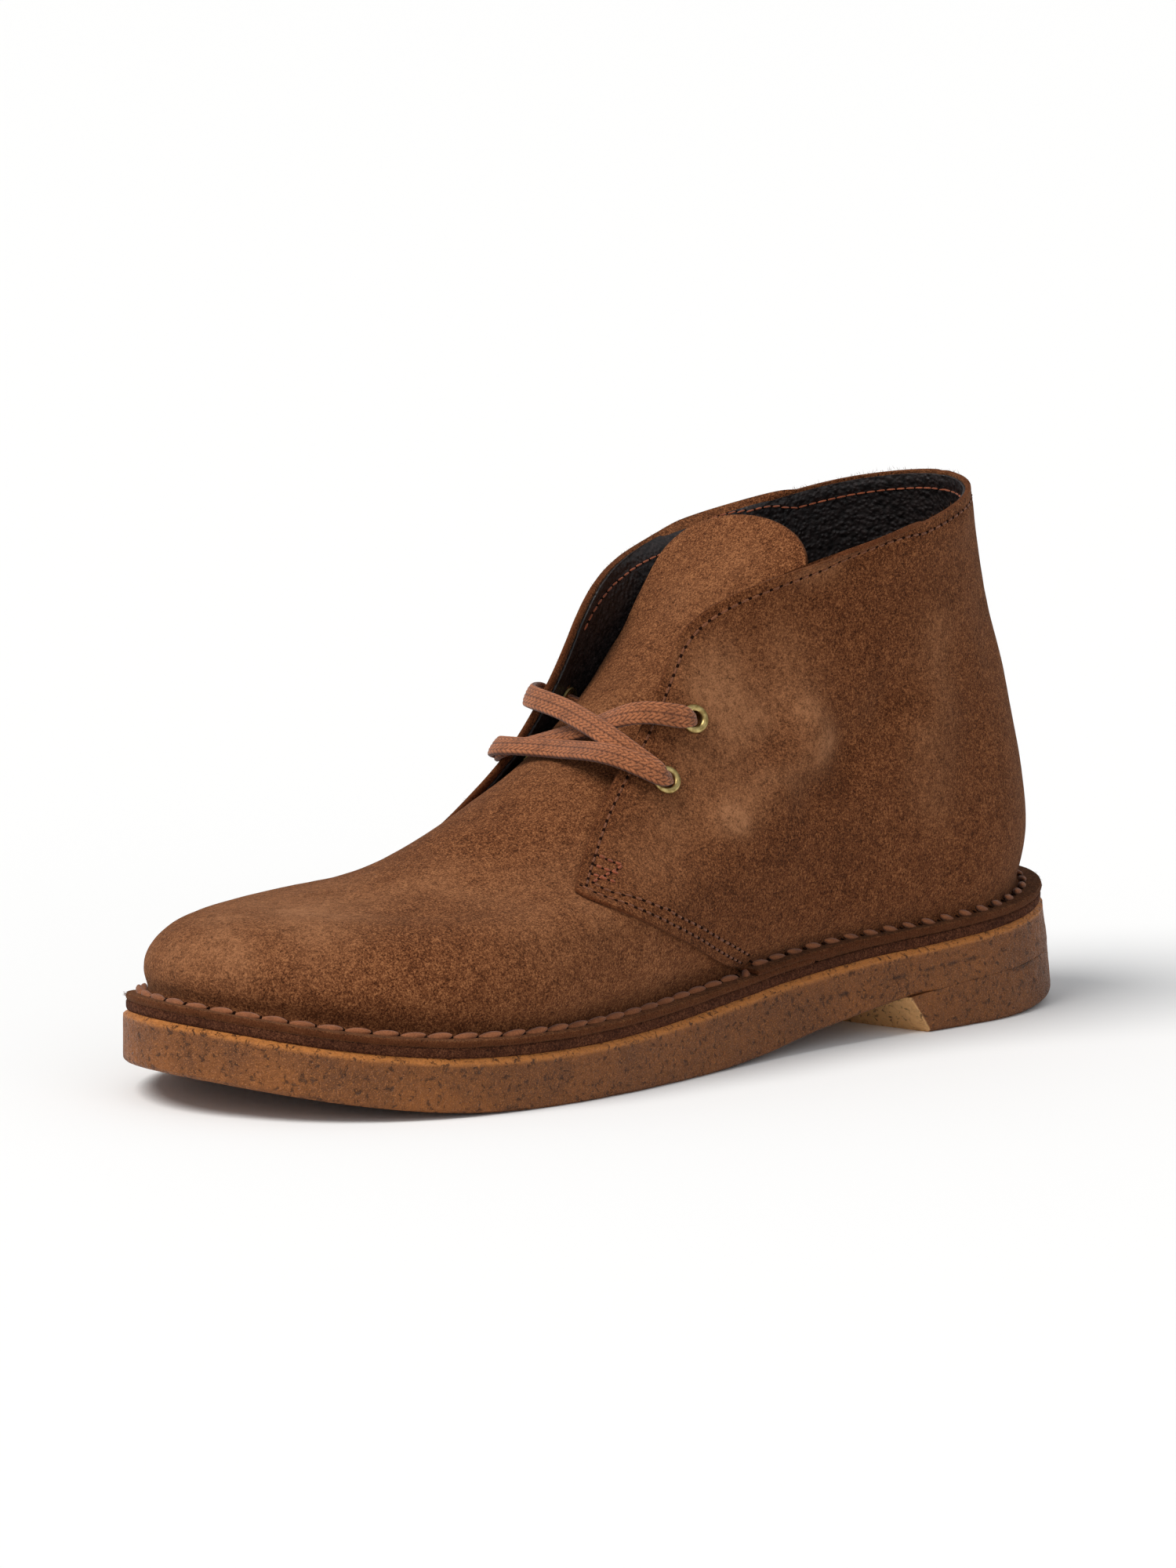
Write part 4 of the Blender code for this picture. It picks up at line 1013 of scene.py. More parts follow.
def crepe_row(up_share):
    """One loop of the outsole. up_share climbs from 0 to 1 over the rounded foot, to 2 up the
    side and to 3 over the bevel. Over the heel lift the foot isn't rounded."""
    above = max(up_share - 2, 0)
    round_off = 0.0010 * (1 - min(up_share, 1.0)) ** 2
    lean = 0.5 * (1 - smooth(up_share, 0.9, 2.0))
    loop = paired_loop(-round_off - CREPE_BEVEL * above, lean)
    front = BREAST_FRONT - SOLE_LENGTH * BREAST_SLANT * (loop[:, 0] < 0)
    over_heel = smooth(loop[:, 1] - front, -0.002, 0.004)[:, None]
    loop = loop + (paired_loop(-CREPE_BEVEL * above, lean) - loop) * over_heel
    first, second = outsole_foot(loop[:, 1]) + CREPE_ROUND, crepe_top(loop[:, 1]) - CREPE_BEVEL
    if up_share <= 1:
        return np.column_stack([loop, outsole_foot(loop[:, 1]) + CREPE_ROUND * up_share])
    if up_share <= 2:
        return np.column_stack([loop, first + (second - first) * (up_share - 1)])
    return np.column_stack([loop, second + CREPE_BEVEL * above])


def crepe_warmth(points):
    """Orange that rubs through the stain: strong at the toe's foot, weak towards the heel."""
    toe = smooth(-points[..., 1], 0.02, 0.135)
    low = 1 - smooth(points[..., 2] - ground(points[..., 1]), 0.001, 0.010)
    return np.clip(0.08 + 0.80 * toe * (0.15 + 0.85 * low), 0, 1)


up_shares = np.concatenate([np.linspace(0, 1, 5), np.linspace(0, 1, 13)[1:] + 1,
                            np.linspace(0, 1, 5)[1:] + 2])
crepe_rows = side_waver(np.array([crepe_row(up_share) for up_share in up_shares]), CREPE_WAVER, 11)
trimmed = np.repeat(smooth(up_shares, 1.90, 1.99)[:, None], crepe_rows.shape[1], 1)
waist = crepe_rows[DASHED_ROW][:, 1]
dashes = np.zeros(crepe_rows.shape[:2])
dashes[DASHED_ROW] = smooth(waist, -0.005, 0.02) * (1 - smooth(waist, 0.095, 0.115)) * 0.8
outsole = make("crepe_outsole", crepe_rows, loop_stack(crepe_rows), crepe, "crepe",
               {"trimmed": trimmed, "warm": crepe_warmth(crepe_rows), "bare": 0 * dashes, "joint": dashes})
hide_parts("outsole")

# %% Crepe heel lift
HEEL_STEPS, BREAST_STEPS = 150, 60
HEEL_ROUND, ROUND_SHARE = 0.0013, 0.12  # the rounded foot's height, and its share of the rows


def heel_loop(offset, lean, rise):
    """Loop of the heel lift: round the back from the breast's outer end to its inner end, and
    straight across the breast, which slants forwards and leans forwards as it rises."""
    stop = np.arccos(1 - 2 * (np.array([HEEL_SHARE, HEEL_SHARE + BREAST_SLANT]) + BREAST_LEAN * rise))
    outer = leaning(np.linspace(0, stop[0], HEEL_STEPS), 1, offset, lean)
    inner = leaning(np.linspace(stop[1], 0, HEEL_STEPS)[:-1], -1, offset, lean)
    t = np.linspace(0, 1, BREAST_STEPS + 2)[1:-1, None]
    return np.concatenate([outer, outer[-1] * (1 - t) + inner[0] * t, inner])


heel_rows = []
for share in np.concatenate([np.linspace(0, ROUND_SHARE, 5), np.linspace(ROUND_SHARE, 1, 14)[1:]]):
    loop = heel_loop(-0.0012 * (1 - min(share / ROUND_SHARE, 1)) ** 2, 1 - 0.5 * share, share)
    low, high = ground(loop[:, 1]), outsole_foot(loop[:, 1]) - 0.00008
    above = HEEL_ROUND + (high - low - HEEL_ROUND) * (share - ROUND_SHARE) / (1 - ROUND_SHARE)
    above = HEEL_ROUND * share / ROUND_SHARE if share < ROUND_SHARE else above
    heel_rows.append(np.column_stack([loop, low + above]))
heel_rows = side_waver(np.array(heel_rows), CREPE_WAVER, 21)
size = heel_rows.shape[1]
k = np.arange(1, HEEL_STEPS - 2)
strip = np.stack([k, k + 1, size - k - 1, size - k], 1)
cap = np.arange(HEEL_STEPS - 2, HEEL_STEPS + BREAST_STEPS + 2)[None]
over = (len(heel_rows) - 1) * size
tip = np.array([[0, 1, size - 1]])
side = grid_quads(len(heel_rows), size, wrap=True)[..., ::-1].reshape(-1, 4)
faces = [np.concatenate([side, strip, strip[:, ::-1] + over])]
faces += [np.concatenate([part, part[:, ::-1] + over]) for part in (tip, cap)]
bare = np.zeros(size)
bare[HEEL_STEPS - 1:HEEL_STEPS + BREAST_STEPS + 1] = 1
joint = 0.6 * smooth(np.linspace(0, 1, len(heel_rows)), 0.9, 1.0)[:, None] * (1 - bare)
heel = make("crepe_heel", heel_rows, faces, crepe, "crepe",
            {"trimmed": 0 * heel_rows[..., 0], "warm": crepe_warmth(heel_rows) * 0.6,
             "bare": np.repeat(bare[None], len(heel_rows), 0), "joint": joint})
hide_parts("heel")

# %% [markdown]
# Between crepe and upper lies the midsole, a thin leather whose cut edge shows as a dark, slightly
# furry band. It fills the whole height between its neighbours and is rounded like worn leather.

# %% Midsole and insole
rows = []
for share in np.linspace(0, 1, 9):
    loop = paired_loop(-MIDSOLE_INSET - 0.0005 * (2 * share - 1) ** 4)
    low, high = crepe_top(loop[:, 1]) + 0.00005, midsole_top(loop[:, 1]) + 0.0002
    rows.append(np.column_stack([loop, low + (high - low) * share]))
rows = side_waver(np.array(rows), 0.00035, 31)
midsole = make("leather_midsole", rows, loop_stack(rows), edge_leather, "midsole_leather",
               {"darkening_and_shade": 0.35 + 0.3 * lattice_noise(rows, 0.009, 35)})
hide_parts("midsole")

half_round = 1 - np.linspace(0, 1, 181)
place_row = np.concatenate([half_round, -half_round[-2:0:-1]])
inner_line, ahead = last(0.0, place_row), last(0.0, place_row + 1e-3) - last(0.0, place_row - 1e-3)
outwards = unit(np.stack([ahead[:, 1], -ahead[:, 0]], -1))
rows = []
for inset, rise in ((0.0, 0.0), (0.0, 0.0018), (0.0003, 0.0023), (0.0009, 0.0026)):
    loop = inner_line[:, :2] - outwards * (INSOLE_INSET - 0.0011 + inset)
    rows.append(np.column_stack([loop, flange_foot(loop[:, 1]) + rise]))
rows = np.array(rows)
insole = make("leather_insole", rows, loop_stack(rows), lining, "lining_leather")
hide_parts("insole")

# %% [markdown]
# ## The upper
# One suede sheet forms the vamp and runs on as the tongue, and another pair, the quarters, wraps
# the heel and carries the eyelets. Each foot turns outwards as a flange for the sole's seam. The
# handwork is in short tables: each row is a soft ridge or trough from one point of the upper to
# another, given by level and place. Ridges catch light and troughs stay dark, as in the photograph.

# %% Handwork tables: start, end (level, place), width and height in mm
VAMP_FOLDS = [
    ((0.285, 0.089), (0.264, 0.150), 7, 0.35), ((0.236, 0.289), (0.300, 0.330), 9, 0.3),
    ((0.433, 0.172), (0.380, 0.230), 8, -0.45), ((0.511, -0.021), (0.500, 0.140), 6, -0.4),
    ((0.455, -0.05), (0.440, 0.16), 7, 0.35), ((0.30, -0.20), (0.36, -0.30), 9, -0.35),
]
QUARTER_FOLDS = [
    ((0.688, 0.448), (0.633, 0.476), 6.5, 1.4), ((0.633, 0.476), (0.583, 0.499), 6.5, 1.4),
    ((0.583, 0.499), (0.496, 0.478), 7, 1.2), ((0.496, 0.478), (0.446, 0.435), 7, 1.0),
    ((0.721, 0.663), (0.550, 0.667), 9, 1.3), ((0.550, 0.667), (0.367, 0.673), 10, 1.0),
    ((0.654, 0.667), (0.592, 0.596), 8, -1.6), ((0.592, 0.596), (0.521, 0.547), 8, -1.6),
    ((0.521, 0.547), (0.450, 0.524), 8, -1.1), ((0.40, 0.40), (0.22, 0.56), 10, -0.6),
    ((0.80, 0.50), (0.84, 0.72), 9, -0.8), ((0.30, 0.80), (0.55, 0.84), 12, 0.7),
    ((0.88, 0.78), (0.60, 0.80), 8, -0.8), ((0.62, 0.36), (0.50, 0.37), 7, -0.5),
    ((0.65, -0.45), (0.50, -0.52), 8, 1.1), ((0.70, -0.62), (0.48, -0.66), 9, -1.2),
    ((0.40, -0.45), (0.28, -0.55), 9, -0.7), ((0.50, -0.78), (0.30, -0.80), 12, 0.7),
]
TONGUE_FOLDS = [
    ((0.70, -0.9), (0.78, 0.5), 5, -0.5), ((0.862, -0.3), (0.84, 0.5), 6, 0.5),
    ((0.45, -0.6), (0.50, 0.6), 6, 0.4), ((0.58, -0.6), (0.62, 0.7), 5, -0.4),
]


def handwork(points, form, table):
    """Sum of ridges and troughs, in metres: each a bell-shaped swelling round a straight line."""
    total = np.zeros(points.shape[:-1])
    for start, end, width, height in table:
        a, b = form(*np.array(start)), form(*np.array(end))
        total = total + stroke(points, a * 1000, b * 1000, width) * height / 1000
    return total


def unevenness(points, seed):
    """Soft noise at three sizes, as leather that was pulled by hand."""
    broad = lattice_noise(points, 0.030, seed) + 0.4 * lattice_noise(points, 0.011, seed + 1)
    return 0.0003 * (broad + 0.15 * lattice_noise(points, 0.0035, seed + 2))


print(len(VAMP_FOLDS) + len(QUARTER_FOLDS) + len(TONGUE_FOLDS), "folds placed by hand")

# %% Skins of the vamp, the tongue and the quarters
BEND_ROWS, FLAT_ROWS = 6, 9  # grid rows of a flange


def edge_distance(level, place):
    """Metres from a point of a quarter to its nearest free edge: the run round the loop to the
    facing, shortened by the edge's slant, or the rise to the collar, whichever is less."""
    h = 2e-3
    run = np.linalg.norm(last(level, place + h) - last(level, place - h), axis=-1) / (2 * h)
    low, high = np.clip(level - h, 0, 1), np.clip(level + h, 0, 1)
    rise = np.linalg.norm(last(high, place) - last(low, place), axis=-1) / (high - low)
    place = wrapped(place)
    slope = (facing_place(high, place) - facing_place(low, place)) / (high - low)
    across = (np.abs(place) - facing_place(level, place)) * run / np.sqrt(1 + (slope * run / rise) ** 2)
    return np.minimum(across, (1 - level) * rise)


def quarter_skin(level, place, depth=0.0):
    """The quarter's face with its handwork, a stitched groove beside its edge and a plain seam
    down the back."""
    level, place = np.broadcast_arrays(np.asarray(level, float), np.asarray(place, float))
    flat = quarter(level, place)
    edge = edge_distance(level, place)
    at_back = (np.abs(wrapped(place)) > 0.9) * (level > 0.02)
    lift = handwork(flat, quarter, QUARTER_FOLDS) + unevenness(flat, 3)
    lift = lift * smooth(edge, 0.0005, 0.014) * smooth(level, 0.0, 0.12)
    lift = lift - 0.00028 * np.exp(-(((edge - 0.0026) / 0.0013) ** 2))
    lift = lift - 0.0005 * np.exp(-((flat[..., 0] / 0.0011) ** 2)) * at_back
    return flat + last_normal(level, place) * (lift - depth)[..., None]


def vamp_skin(level, place):
    """The vamp's face with its handwork."""
    flat = last(level, place)
    lift = (handwork(flat, last, VAMP_FOLDS) + unevenness(flat, 6)) * smooth(level, 0.0, 0.08)
    return flat + last_normal(level, place) * lift[..., None]


def tongue_skin(along, across):
    """The tongue's face with its handwork, which starts a little above the throat."""
    flat = tongue(along, across)
    normal = unit(tongue(along, across, -0.001) - flat)
    lift = handwork(flat, tongue, TONGUE_FOLDS) * smooth(along, 0.0, 0.15) + unevenness(flat, 6)
    return flat + normal * lift[..., None]


def flange_rows(skin_row, base, edge, top):
    """Rows from the wall's foot out to the flange's edge: a quarter-round bend drawn as a
    three-point curve, then the flat part, whose rim droops a little."""
    base = np.column_stack([base[:, :2], top(base[:, 1])])
    edge = np.column_stack([edge[:, :2], top(edge[:, 1])])
    turn = base + (edge - base) * 0.36
    turn[:, 2] = top(turn[:, 1])
    t = np.linspace(0, 1, BEND_ROWS + 1)[1:, None, None]
    bend = skin_row * (1 - t) ** 2 + 2 * base * t * (1 - t) + turn * t**2
    s = np.linspace(0, 1, FLAT_ROWS + 1)[1:, None, None]
    flat = turn * (1 - s) + edge * s
    flat[..., 2] = top(flat[..., 1]) - 0.0003 * s[..., 0] ** 3 + 0.00012 * lattice_noise(flat, 0.006, 44)
    return np.concatenate([bend, flat])


print("face of the quarter at its lower front corner:", quarter_skin(LOWER_CORNER, 0.315).round(4))

# %% Vamp and tongue
COLUMNS = 150
VAMP_THICKNESS, CUT_SWELL, EDGE_ROWS = 0.0019, 0.0005, 5
spot = np.linspace(-1, 1, COLUMNS)
spot = spot + 0.10 * np.sin(math.pi * spot)
side_table = np.concatenate([VAMP_SIDE[:-1], [[THROAT_LEVEL, THROAT_PLACE]]])
levels = THROAT_LEVEL - (THROAT_LEVEL - 0.03) * np.linspace(0, 1, 118)[1:] ** 0.92
places = curve(side_table[:, 0], side_table[:, 1], levels)[:, None] * spot
wall = vamp_skin(np.repeat(levels[:, None], COLUMNS, 1), places)
rise = np.linspace(1, 0, 78)
top_edge = 1 - TONGUE_ROUND * (1 - np.sqrt(np.clip(1 - spot**2, 0, 1)))
flap = tongue_skin(rise[:, None] * top_edge, np.repeat(spot[None], len(rise), 0))
foot_places = curve(side_table[:, 0], side_table[:, 1], 0.0) * spot
rim = flange_edge(foot_places, FLANGE_INSET + 0.0003)
flange = flange_rows(wall[-1], last(0.0, foot_places), rim, feather)
face = np.concatenate([flap, wall, flange])
points, quads, cut = sheet_wall(face, VAMP_THICKNESS, swell=CUT_SWELL, edge_rows=EDGE_ROWS)
# Lighter nap on the vamp and tongue: painted highlight on the toe's dome and on ridges, and worn nap.
HIGHLIGHT_AND_WEAR_VAMP = [
    ((0.194, 0.014), (0.306, -0.052), 17, 0.6), ((0.356, 0.062), (0.306, 0.0), 13, 0.45),
    ((0.204, 0.142), (0.285, 0.089), 11, 0.45), ((0.419, -0.014), (0.433, 0.172), 9, 0.35),
    ((0.10, -0.06), (0.12, 0.10), 7, 0.3), ((0.25, -0.2), (0.35, -0.15), 14, 0.3),
    ((0.28, 0.30), (0.36, 0.36), 20, 0.3),
]
HIGHLIGHT_AND_WEAR_TONGUE = [((0.862, 0.146), (0.786, -0.095), 11, 0.35), ((0.591, -0.065), (0.35, 0.1), 12, 0.25)]


def highlight_and_wear(points, form, table):
    """Worn light nap and painted highlights, by strokes on a form; soft noise breaks each one up."""
    share = handwork(points, form, [(a, b, w, v * 1000) for a, b, w, v in table])
    return np.clip(share * (0.75 + 0.5 * lattice_noise(points, 0.009, 51)), 0, 1)


def foot_shade_and_darkening(points):
    """Painted shade in the angle between wall and flange, gone 7 mm above it, and a little darkening on the
    flange.
    """
    above = points[..., 2] - feather(points[..., 1])
    wall = 0.5 * np.exp(-(((above - 0.0005) / 0.0035) ** 2)) * (above > -0.0003)
    return np.maximum(wall, 0.42 * (1 - smooth(above, 0.0006, 0.0025)))


lightened_nap = highlight_and_wear(points, last, HIGHLIGHT_AND_WEAR_VAMP) + highlight_and_wear(points, tongue, HIGHLIGHT_AND_WEAR_TONGUE)
vamp = make("suede_vamp", points, quads, suede, "suede",
            {"highlight_and_wear": lightened_nap, "darkening_and_shade": foot_shade_and_darkening(points), "cut": cut})
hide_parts("tongue")

# %% Quarters
ROUND = 300
SPLIT_THICKNESS = 0.0015  # the quarter's suede; its lining fills the rest of the wall
EYELET_HOLE = 0.0028
turn = np.linspace(0, 1, ROUND)
turn = turn - 0.095 * np.sin(2 * math.pi * turn)
levels = np.concatenate([1 - np.linspace(0, 0.36, 42) ** 2, np.linspace(0.87, 0.03, 92)[1:]])
start, finish = facing_place(levels, 1)[:, None], 2 - facing_place(levels, -1)[:, None]
places = start + (finish - start) * turn
grid = np.repeat(levels[:, None], ROUND, 1)
wall = quarter_skin(grid, places)
foot_places = facing_place(0.0, 1) + (2 - facing_place(0.0, -1) - facing_place(0.0, 1)) * turn


def lapped(places):
    """How high the quarter's flange rides: a whole wall where it laps the vamp's, little behind."""
    return 0.0004 + 0.0010 * (1 - smooth(np.abs(wrapped(places)), 0.57, 0.72))


def clear_of_eyelets(face, radius):
    """Which quads of a face grid to keep: those whose middle is that far from every eyelet."""
    middle = face.reshape(-1, 3)[grid_quads(*face.shape[:2])].mean(-2)
    far = [np.linalg.norm(middle - centre, axis=-1) > radius for centre in eyelet_centres]
    return np.logical_and.reduce(far)


flange = flange_rows(wall[-1], quarter(0.0, foot_places), flange_edge(foot_places, FLANGE_INSET),
                     lambda y: feather(y) + lapped(foot_places))
face = np.concatenate([wall, flange])
eyelet_centres = [quarter_skin(level, place * side) for level, place in EYELETS.values() for side in (1, -1)]
behind_vamp = smooth(np.abs(wrapped(foot_places)), 0.578, 0.592)
outwards = smooth(np.linspace(0, 1, len(flange)), 0.15, 0.5)[:, None]
deep = np.full(face.shape[:2], SPLIT_THICKNESS)
deep[len(wall):] += outwards * behind_vamp * (0.0004 + lapped(foot_places))
points, quads, cut = sheet_wall(face, deep, clear_of_eyelets(face, EYELET_HOLE), CUT_SWELL, EDGE_ROWS)
# Lighter nap on the quarters: painted highlight along the fold ridges, and worn nap, as at the small scuffs
# and along the collar.
HIGHLIGHT_AND_WEAR_QUARTER = [
    ((0.688, 0.448), (0.583, 0.499), 6, 0.55), ((0.583, 0.499), (0.446, 0.435), 6, 0.55),
    ((0.721, 0.663), (0.367, 0.673), 9, 0.4), ((0.660, 0.462), (0.648, 0.468), 3.8, 1.4),
    ((0.455, 0.436), (0.440, 0.446), 3.2, 1.4), ((0.536, 0.456), (0.528, 0.468), 2.8, 1.1),
    ((0.775, 0.297), (0.704, 0.346), 11, 0.8), ((0.60, 0.36), (0.42, 0.36), 12, 0.35),
    ((0.78, 0.42), (0.66, 0.38), 12, 0.35), ((0.65, -0.45), (0.50, -0.52), 8, 0.4),
    ((0.97, 0.40), (0.98, 0.95), 4, 0.65), ((0.97, -0.45), (0.98, -0.95), 4, 0.5),
]
lightened_nap = highlight_and_wear(points, quarter, HIGHLIGHT_AND_WEAR_QUARTER)
quarters = make("suede_quarters", points, quads, shaded_quarter_suede, "suede",
                {"highlight_and_wear": lightened_nap, "darkening_and_shade": foot_shade_and_darkening(points), "cut": cut})
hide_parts("upper")

# %% [markdown]
# Inside the quarters lies a thin dark lining, cut back a little from the facing, so its own edge
# shows there as a black line. The insole was dressed with the same leather.

# %% Lining
LINING_THICKNESS = 0.0008
levels = np.concatenate([0.994 - np.linspace(0, 0.3, 22) ** 2, np.linspace(0.90, 0.006, 58)[1:]])
turn = np.linspace(0, 1, 190)
back_off = 0.010 + 0.05 * smooth(0.45 - levels, 0.0, 0.06)
start = (facing_place(levels, 1) + back_off)[:, None]
finish = (2 - facing_place(levels, -1) - back_off)[:, None]
places = start + (finish - start) * turn
grid = np.repeat(levels[:, None], len(turn), 1)
face = quarter_skin(grid, places, SPLIT_THICKNESS)
face = face - last_normal(grid, places) * (lattice_noise(face, 0.006, 61) * 0.00012)[..., None]
points, quads, cut = sheet_wall(face, LINING_THICKNESS, clear_of_eyelets(face, EYELET_HOLE + 0.0006), 0.0002)
make("quarter_lining", points, quads, lining, "lining_leather")

# %% [markdown]
# ## Seams
# Every seam is a line on the leather: we take a piece's edge as levels and places, move it
# sideways on the surface by a fixed distance, and step along it at the machine's stitch length.
# Each stitch is a short swelling of thread between two needle holes, dark discs of painted shade.

# %% Lines on the leather and small shapes
def slopes_of(form, level, place):
    """How a form's point moves per unit of level and of place."""
    h = 1e-3
    low, high = np.clip(level - h, 0, 1), np.clip(level + h, 0, 1)
    a = (form(high, place) - form(low, place)) / (high - low)[:, None]
    return a, (form(level, place + h) - form(level, place - h)) / (2 * h)


def beside(form, level, place, distance):
    """The line moved sideways on its form: its direction crossed with the normal gives the way,
    and the form's two slopes give the steps in level and place."""
    a, b = slopes_of(form, level, place)
    along = np.gradient(form(level, place), axis=0)
    way = unit(np.cross(np.cross(b, a), along)) * distance
    aa, ab, bb = (a * a).sum(1), (a * b).sum(1), (b * b).sum(1)
    wa, wb = (way * a).sum(1), (way * b).sum(1)
    det = aa * bb - ab * ab
    return level + (wa * bb - wb * ab) / det, place + (wb * aa - wa * ab) / det


def run_along(line):
    """Length from a line's start to each of its points: its steps' lengths, summed up."""
    return np.concatenate([[0], np.cumsum(np.linalg.norm(np.diff(line, axis=0), axis=1))])


def stepped(values, run, pitch):
    """Rows of values at equal steps of the run, each at the middle of its step."""
    count = max(1, int(run[-1] / pitch))
    at = (np.arange(count) + 0.5) * run[-1] / count
    return np.stack([np.interp(at, run, values[:, k]) for k in range(values.shape[1])], 1)


def stations(form, level, place, pitch):
    """Points, directions and normals at equal steps along a line on a form."""
    line = form(level, place)
    run = run_along(line)
    at = stepped(np.stack([level, place], 1), run, pitch)
    a, b = slopes_of(form, at[:, 0], at[:, 1])
    ahead = stepped(unit(np.gradient(line, axis=0)), run, pitch)
    return form(at[:, 0], at[:, 1]), unit(ahead), unit(np.cross(b, a))


seam = stations(quarter, np.full(2, 0.1), np.array([0.5, 0.6]), 0.003)
print("a tenth of the loop takes", len(seam[0]), "stitches of 3 mm")

# %% Beads and rows of stitches
THREAD_PROFILE = ((-1, 0.25), (-0.75, 0.72), (-0.35, 0.96), (0.35, 0.96), (0.75, 0.72), (1, 0.25))
HOLE_PROFILE = ((-1, 0.3), (-0.5, 0.87), (0.5, 0.87), (1, 0.3))


def bead(profile=THREAD_PROFILE, around=8):
    """A closed swelling: rings along x whose radius follows the profile, closed by three quads
    at each end."""
    angle = np.linspace(0, 2 * math.pi, around, endpoint=False)
    x, radius = np.array(profile).T
    ring = np.stack([np.cos(angle), np.sin(angle)], -1)
    lengthwise = np.broadcast_to(x[:, None, None], (len(x), around, 1))
    points = np.concatenate([lengthwise, radius[:, None, None] * ring], -1)
    cap = np.array([[0, 1, 2, 3], [0, 3, 4, 7], [4, 5, 6, 7]])
    side = grid_quads(len(x), around, wrap=True).reshape(-1, 4)
    return points.reshape(-1, 3), np.concatenate([side, cap[:, ::-1], cap + (len(x) - 1) * around])


def scattered(shape, centre, along, normal, size):
    """Copies of a small shape, one at each station: its x, y and z axes are turned to the
    direction, the way across and the normal, and scaled by size."""
    points, quads = shape
    along = unit(along - normal * (along * normal).sum(1, keepdims=True))
    axes = np.stack([along, np.cross(normal, along), normal], 1)
    size = np.broadcast_to(size, (len(centre), 3))
    placed = centre[:, None] + np.einsum("pk,nk,nkd->npd", points, size, axes)
    first = np.arange(len(centre))[:, None, None] * len(points)
    return placed.reshape(-1, 3), (quads[None] + first).reshape(-1, 4)


def row_of_stitches(name, lines, pitch, size, sink, thread, slot, hole):
    """One mesh of thread beads and one of needle holes, dark discs of painted shade, for several
    lines, each (form, level, place). size holds a bead's half length, half width and half height."""
    parts = [stations(*line, pitch) for line in lines]
    centre, ahead, normal = (np.concatenate(values) for values in zip(*parts))
    jitter = np.random.default_rng(len(name)).normal(0, 1, (len(centre), 2))
    length = size[0] * (1 + 0.08 * jitter[:, 0])
    tall = size[2] * (1 + 0.15 * jitter[:, 1])
    sizes = np.stack([length, np.full(len(centre), size[1]), tall], 1)
    sunk = centre - normal * sink
    points, quads = scattered(bead(), sunk, ahead, normal, sizes)
    make(name + "_thread", points, quads, thread, slot, {"groove_shade": np.zeros(len(points))})
    ends = centre - ahead * pitch / 2 - normal * sink
    hole_size = (hole, hole * 0.8, 0.00016)
    make(name + "_hole_shade", *scattered(bead(HOLE_PROFILE), ends, ahead, normal, hole_size), hole_shade, slot)


print("a stitch has", len(bead()[1]), "quads, a needle hole", len(bead(HOLE_PROFILE)[1]))

# %% Seams of the quarters
ROUNDED_FROM = 0.87  # level where the facing turns into the collar
THREAD_RADIUS = 0.0003
ON_FACE, THROUGH = -0.00005, 0.00245  # depth below the suede's face: proud of it, or on the lining


def collar_line():
    """Levels and places from the outer facing's rounded corner over the collar to the inner's."""
    climb, fall = np.linspace(ROUNDED_FROM, 1, 40), np.linspace(1, ROUNDED_FROM, 40)
    start, finish = facing_place(climb, 1), 2 - facing_place(fall, -1)
    over_back = np.linspace(start[-1], finish[0], 242)[1:-1]
    return np.concatenate([climb, np.ones(240), fall]), np.concatenate([start, over_back, finish])


def beside_facing(level, side, distance):
    """A seam at a distance inside a facing."""
    return (quarter_skin, *beside(quarter, level, facing_place(level, side) * side, -distance * side))


def beside_collar(distance):
    """A seam at a distance inside the collar, without what runs past its ends."""
    level, place = beside(quarter, *collar_line(), -distance)
    return [(quarter_skin, level[level <= 0.9995], place[level <= 0.9995])]


up_facing = np.concatenate([np.linspace(0.012, LOWER_CORNER, 60),
                            np.linspace(LOWER_CORNER, ROUNDED_FROM, 60)[1:]])
lines_near = [beside_facing(up_facing, side, 0.0024) for side in (1, -1)]
lines_far = [beside_facing(np.linspace(0.012, 0.338, 60), side, 0.0052) for side in (1, -1)]
for name, lines, pitch, half_length, sink, thread, slot, hole in (
        ("seam_near", lines_near, 0.0029, 0.0010, ON_FACE, seam_thread, "suede", 0.00058),
        ("seam_far", lines_far, 0.0029, 0.0010, ON_FACE, seam_thread, "suede", 0.00058),
        ("collar_seam", beside_collar(0.0028), 0.0032, 0.0011, ON_FACE, seam_thread, "suede", 0.00055),
        ("lining_seam", beside_collar(0.0045), 0.0030, 0.0013, THROUGH, rust_thread, "lining_leather",
         0.00048)):
    size = (half_length, THREAD_RADIUS, THREAD_RADIUS)
    row_of_stitches(name, lines, pitch, size, sink, thread, slot, hole)

# %% [markdown]
# Where a quarter's second row ends, above the lower front corner, a small box of doubled stitches
# takes the pull of the laces. Its rows run from the facing's own row inwards, in redder thread.

# %% Bar-tacks
tacks = []
for side, low, far_row in ((1, 0.418, lines_far[0]), (-1, 0.425, lines_far[1])):
    for level_here in (low, low + 0.024, low + 0.048):
        at_edge = float(facing_place(level_here, side)) * side
        near_levels = level_here + np.linspace(-0.01, 0.01, 3)
        reach = [beside(quarter, near_levels, np.full(3, at_edge), -d * side) for d in (0.0032, 0.0094)]
        tacks.append((quarter_skin, *(np.linspace(reach[0][k][1], reach[1][k][1], 9) for k in (0, 1))))
    _, far_level, far_place = far_row
    _, tack_level, tack_place = tacks[-1]
    climb = smooth(np.linspace(0, 1, 12), 0, 1)
    tacks.append((quarter_skin, np.linspace(far_level[-1], tack_level[-1], 12),
                  far_place[-1] + (tack_place[-1] - far_place[-1]) * climb))
size = (0.00085, 0.00042, 0.00040)
